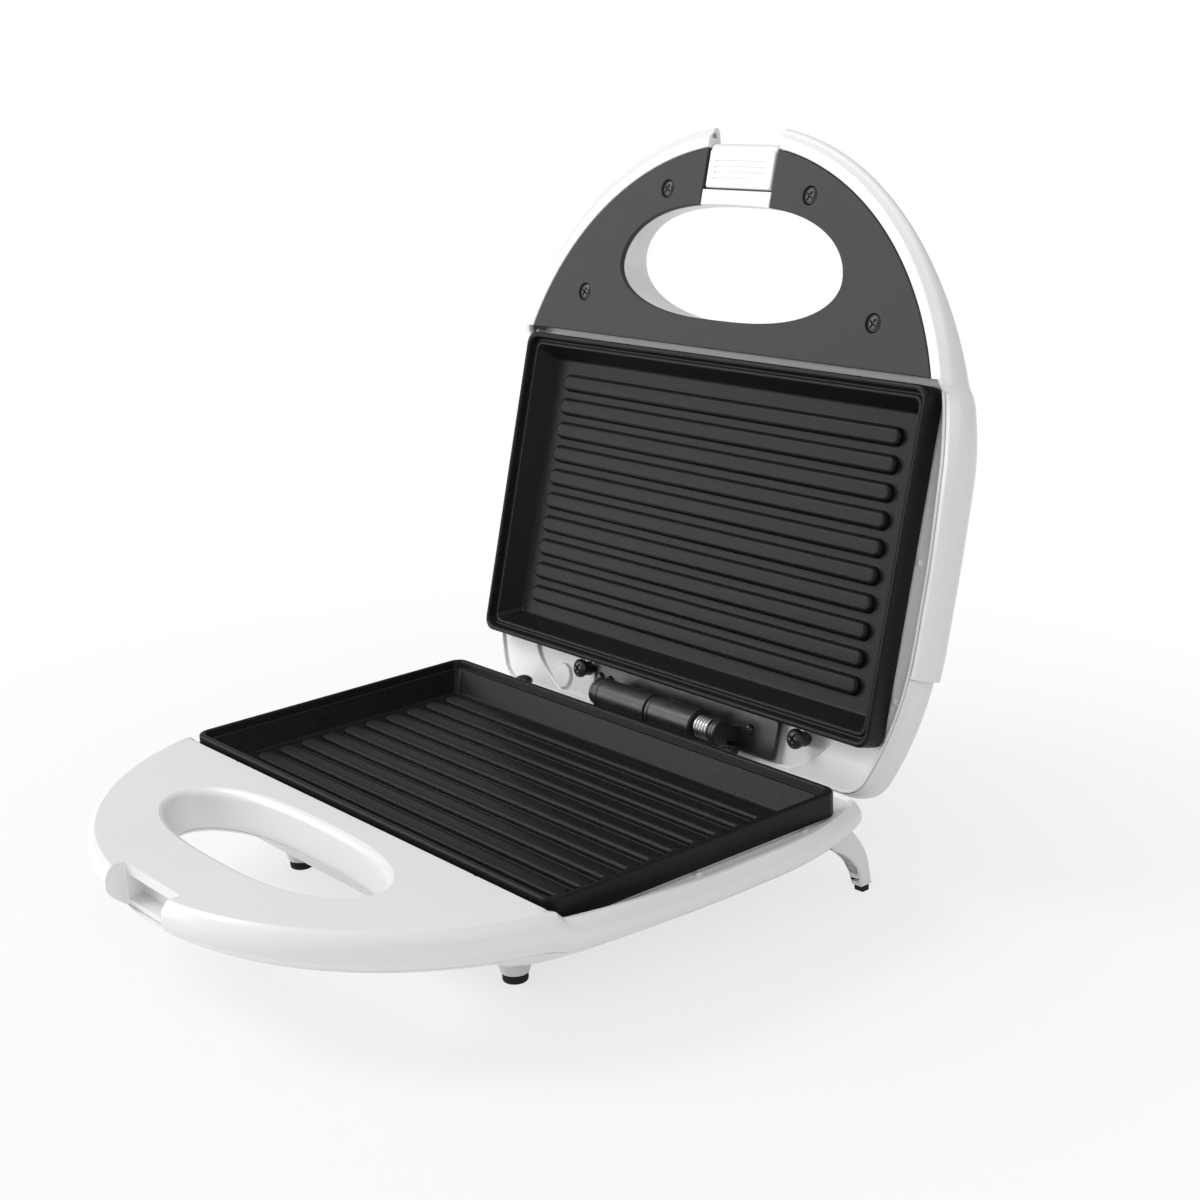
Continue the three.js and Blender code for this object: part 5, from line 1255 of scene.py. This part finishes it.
pin = round_bar("hinge_pin_turned", *PIN_ENDS, PIN_R, along_x(0, 0), SCREW_STEPS)
finish_piece(pin, "base", "steel", "hinge_pin", HINGE_PLACE)
spring = coil("hinge_spring_wound", start=28.7, end=37.3, radius=4.2, wire=0.6, curls=5)
finish_piece(spring, "base", "steel", "hinge_spring", HINGE_PLACE)

CLIP_PIVOT_Y = -141.7
CLIP_PIVOT_W = 4.4
CLIP_HALF = 17.6
CLIP_BARREL_R = 2.4
CLIP_BORE_R = 1.35
CLIP_FACE_HALF = 7.3
CLIP_NOSE_HALF = 0.85
GRIPS = 4
GRIP_START = 4.5
GRIP_PITCH = 2.2
GRIP_SIDE = 4


def latch_clip():
    axis = along_x(CLIP_PIVOT_Y, CLIP_PIVOT_W)
    barrel = round_bar("latch_clip_moulded", -CLIP_HALF, CLIP_HALF, CLIP_BARREL_R, axis)
    plan = rectangle(CLIP_HALF, CLIP_FACE_HALF, 1.2, cy=CLIP_PIVOT_Y + CLIP_FACE_HALF)
    face = block("face", plan, 1.4, 3.3, 0.6, 0.3)
    nose_y = CLIP_PIVOT_Y + 2 * CLIP_FACE_HALF - CLIP_NOSE_HALF
    plan = rectangle(CLIP_HALF, CLIP_NOSE_HALF, 0.4, cy=nose_y)
    nose = block("nose", plan, 1.9, 7.6, 0.3, 0.4)
    grips = []
    for k in range(GRIPS):
        y = CLIP_PIVOT_Y + GRIP_START + GRIP_PITCH * k
        plan = rectangle(CLIP_HALF - GRIP_SIDE, 0.35, 0.3, cy=y)
        grips.append(block("tool", plan, 0.6, 1.75))
    return combine(barrel, add(face, nose), cut(*grips, bore(CLIP_BORE_R, -DEEP, DEEP, axis)))


finish_piece(latch_clip(), "latch", "white_plastic", "latch_clip")


def turned_piece(name, points, place, body, slot, node, cuts=()):
    """Lathed piece from a profile with rounded corners, with tools cut out of it."""
    piece = lathe(name, rounded(points, 5), place)
    if cuts:
        piece = combine(piece, cut(*cuts))
    finish_piece(piece, body, slot, node)


lens_w = float(lid_crown(np.array([float(LAMP_Y)]))[0])
LENS_PROFILE = [
    (-4.4, 0, 0), (-4.4, 4.6, 0.2), (-3.2, 4.6, 0.2), (-3.2, 3.6, 0), (0.3, 3.6, 0.7),
    (1, 1.6, 2.5), (1, 0, 0),
]
for side, node, slot in ((-1, "power_lamp_lens", "red_lens"), (1, "ready_lamp_lens", "green_lens")):
    dome = [(lens_w + w, radius, bend_r) for w, radius, bend_r in LENS_PROFILE]
    at = along_w(side * LAMP_X, LAMP_Y)
    turned_piece(f"{node}_domed", dome, at, "lid", slot, node)

FOOT_X = 66.5
FOOT_Y = -46.8
FOOT_PROFILE = [(34.3, 0, 0), (34.3, 8, 0.3), (35.6, 7.6, 1.0), (44.7, 4.9, 0.4), (44.7, 0, 0)]
TIP_PROFILE = [(45, 0, 0), (45, 4.5, 0.3), (48, 4.4, 0.8), (48, 0, 0)]
for side, word in ((-1, "right"), (1, "left")):
    at = along_w(side * FOOT_X, FOOT_Y)
    for node, profile, slot in (
        (f"front_foot_{word}", FOOT_PROFILE, "white_plastic"),
        (f"front_foot_tip_{word}", TIP_PROFILE, "rubber"),
    ):
        turned_piece(f"{node}_moulded", profile, at, "base", slot, node)

GLAND_PROFILE = [
    (68.4, 0, 0), (68.4, 4.6, 0.4), (85.1, 4.6, 0), (85.1, 6.4, 0.3), (87.3, 6.2, 0.8),
    (87.3, 0, 0),
]
CORD_ROOM = [
    (56.4, 0, 0), (56.4, 3.2, 0), (86.3, 3.2, 0), (87.9, 4.4, 0), (96.4, 4.4, 0), (96.4, 0, 0),
]
gland_at = along_y(GLAND_X, GLAND_W)
turned_piece(
    "cord_gland_moulded", GLAND_PROFILE, gland_at, "base", "black_plastic", "cord_gland",
    [lathe("tool", rounded(CORD_ROOM), gland_at)],
)

LEG_TAPER = 0.5
LEG_TAPER_START_W = 24
LEG_TAPER_LENGTH = 22
LEG_BACK = [(66.4, 27), (76.4, 27), (82.3, 21.6), (86.7, 13.5), (88.8, 2.4)]
LEG_FACE = [(83.6, 2.4), (82.2, 9.5), (77.5, 15.5), (70.0, 20.5)]
LEG_ENDS = (92, 102)
LEG_WALL_X = 1.5
LEG_WALL = 1.3
LEG_HOLLOW_SHIFT = -2.4
PAD_AT = (99.4, 86.2)
PAD_HALF = (2.2, 1.9)
PAD_HEIGHT = 2.1
TINY = 1e-6


def leg_outline(inset):
    """Side view of a leg, from the heights over the ground of its back and its face."""
    spots = np.concatenate([spline(LEG_BACK, 8), spline(LEG_FACE, 8)])
    spots[:, 1] = RIDGE_HEIGHT - spots[:, 1]
    ahead = np.roll(spots, -1, 0) - np.roll(spots, 1, 0)
    normal = np.stack([ahead[:, 1], -ahead[:, 0]], 1)
    normal /= np.maximum(np.linalg.norm(normal, axis=1, keepdims=True), TINY)
    y, w = spots.T
    area = np.sum(y * np.roll(w, -1) - w * np.roll(y, -1))
    return spots - normal * inset * np.sign(area)


def leg_solid(name, x0, x1, edge, inset=0.0):
    """Leg between two faces across x, whose inner face closes in on the outer one downward."""
    outer_x = max(x0, x1, key=abs)
    section = []
    for grow, along in full_edge(edge):
        section.append((inset + grow, x0 + along))
    for along, grow in full_edge(edge):
        section.append((inset + grow, x1 - along))
    rings = []
    for grow, x in section:
        plan = leg_outline(grow)
        reached = np.clip((plan[:, 1] - LEG_TAPER_START_W) / LEG_TAPER_LENGTH, 0, 1)
        across = outer_x + (x - outer_x) * (1 - LEG_TAPER * reached)
        rings.append(np.column_stack([across, plan]))
    return loft(name, rings)


bowl = base_solid(-GAP, 3)
for side, word in ((1, "left"), (-1, "right")):
    x0, x1 = sorted(side * x for x in LEG_ENDS)
    leg = leg_solid(f"rear_leg_{word}_moulded", x0, x1, edge=0.7)
    hollow = leg_solid("tool", x0 + LEG_WALL_X, x1 - LEG_WALL_X, edge=0.3, inset=LEG_WALL)
    hollow.data.transform(along_w(0, LEG_HOLLOW_SHIFT))
    leg = combine(leg, cut(copy(bowl), hollow))
    finish_piece(leg, "base", "white_plastic", f"rear_leg_{word}")
    plan = rectangle(*PAD_HALF, 0.8, cx=side * PAD_AT[0], cy=PAD_AT[1])
    top = RIDGE_HEIGHT - PAD_HEIGHT
    pad = block(f"rear_leg_pad_{word}_moulded", plan, top, RIDGE_HEIGHT, end_edge=0.3)
    finish_piece(pad, "base", "rubber", f"rear_leg_pad_{word}")
bpy.data.objects.remove(bowl)


# --- floor, light and camera

FLOOR_GREY = 0.86
FLOOR_REACH = 6
FADE_REACH = (0.15, 0.42)
FADE_SHARES = (0.7, 1.0)
ROOM_STRENGTH = 0.42
SEEN_STRENGTH = 1.0


def math_node(tree, operation, first, second):
    node = new_node(tree, "Math")
    node.operation = operation
    tree.links.new(first, node.inputs[0])
    tree.links.new(second, node.inputs[1])
    return node.outputs[0]


def mixed(tree, share, first, second, out):
    """Mixes two shaders by a share and links the result to the output node."""
    mix = new_node(tree, "MixShader")
    tree.links.new(share, mix.inputs["Fac"])
    tree.links.new(first.outputs[0], mix.inputs[1])
    tree.links.new(second.outputs[0], mix.inputs[2])
    tree.links.new(mix.outputs[0], out.inputs["Surface"])


def pale_floor():
    """Matte floor that the camera sees as white, a little less so round the object."""
    material = bpy.data.materials.new("pale floor")
    material.use_nodes = True
    tree = material.node_tree
    tree.nodes.clear()
    matte = new_node(tree, "BsdfDiffuse", {"Color": (FLOOR_GREY, FLOOR_GREY, FLOOR_GREY, 1)})
    glow = new_node(tree, "Emission", {"Strength": SEEN_STRENGTH})
    reach = new_node(tree, "VectorMath")
    reach.operation = "LENGTH"
    tree.links.new(new_node(tree, "NewGeometry").outputs["Position"], reach.inputs[0])
    fade = number_range(tree, reach.outputs["Value"], FADE_SHARES, FADE_REACH)
    rays = new_node(tree, "LightPath").outputs
    seen = math_node(tree, "MAXIMUM", rays["Is Camera Ray"], rays["Is Glossy Ray"])
    share = math_node(tree, "MULTIPLY", seen, fade)
    mixed(tree, share, matte, glow, new_node(tree, "OutputMaterial"))
    return material


corners = [(x * FLOOR_REACH, y * FLOOR_REACH, 0) for x, y in ((-1, -1), (1, -1), (1, 1), (-1, 1))]
floor = make("floor", corners, [(0, 1, 2, 3)])
floor.data.materials.append(pale_floor())

world = bpy.data.worlds.new("studio")
bpy.context.scene.world = world
world.use_nodes = True
tree = world.node_tree
tree.nodes.clear()
room, seen_room = (
    new_node(tree, "Background", {"Color": (1, 1, 1, 1), "Strength": strength})
    for strength in (ROOM_STRENGTH, SEEN_STRENGTH)
)
rays = new_node(tree, "LightPath").outputs
mixed(tree, rays["Is Camera Ray"], room, seen_room, new_node(tree, "OutputWorld"))


def lamp(name, power, size, at, target):
    data = bpy.data.lights.new(name, "AREA")
    data.energy = power
    data.size = size
    light = bpy.data.objects.new(name, data)
    bpy.context.scene.collection.objects.link(light)
    light.location = at
    light.rotation_euler = (Vector(target) - Vector(at)).to_track_quat("-Z", "Y").to_euler()


lamp("key", power=13.0, size=0.8, at=(-0.9, -0.8, 1.2), target=(0, 0, 0.1))
lamp("low", power=8.0, size=0.8, at=(-1.05, -1.05, 0.3), target=(0, 0, 0.15))
lamp("fill", power=5.0, size=1.2, at=(1.1, -0.5, 0.9), target=(0, 0, 0.1))
lamp("top", power=1.5, size=1.0, at=(0.1, 0.4, 1.5), target=(0, 0, 0.1))

# Camera as solved from the photograph
CAMERA_AT = Vector((554.932, -400.565, 304.742)) * MM
CAMERA_RIGHT = Vector((0.64504, 0.76296, -0.04257))
CAMERA_UP = Vector((-0.1854, 0.2103, 0.9599))
SENSOR = 36
PHOTO_WIDTH = 1200
FOCAL_PIXELS = 1999.1
NEAREST_SEEN = 0.01

camera_data = bpy.data.cameras.new("camera")
camera_data.sensor_width = SENSOR
camera_data.lens = FOCAL_PIXELS / PHOTO_WIDTH * SENSOR
camera_data.clip_start = NEAREST_SEEN
camera = bpy.data.objects.new("camera", camera_data)
bpy.context.scene.collection.objects.link(camera)
backward = CAMERA_RIGHT.cross(CAMERA_UP)
turned = Matrix((CAMERA_RIGHT, CAMERA_UP, backward)).transposed().to_4x4()
camera.matrix_world = Matrix.Translation(CAMERA_AT) @ turned
bpy.context.scene.camera = camera
bpy.context.scene.view_settings.view_transform = "Standard"
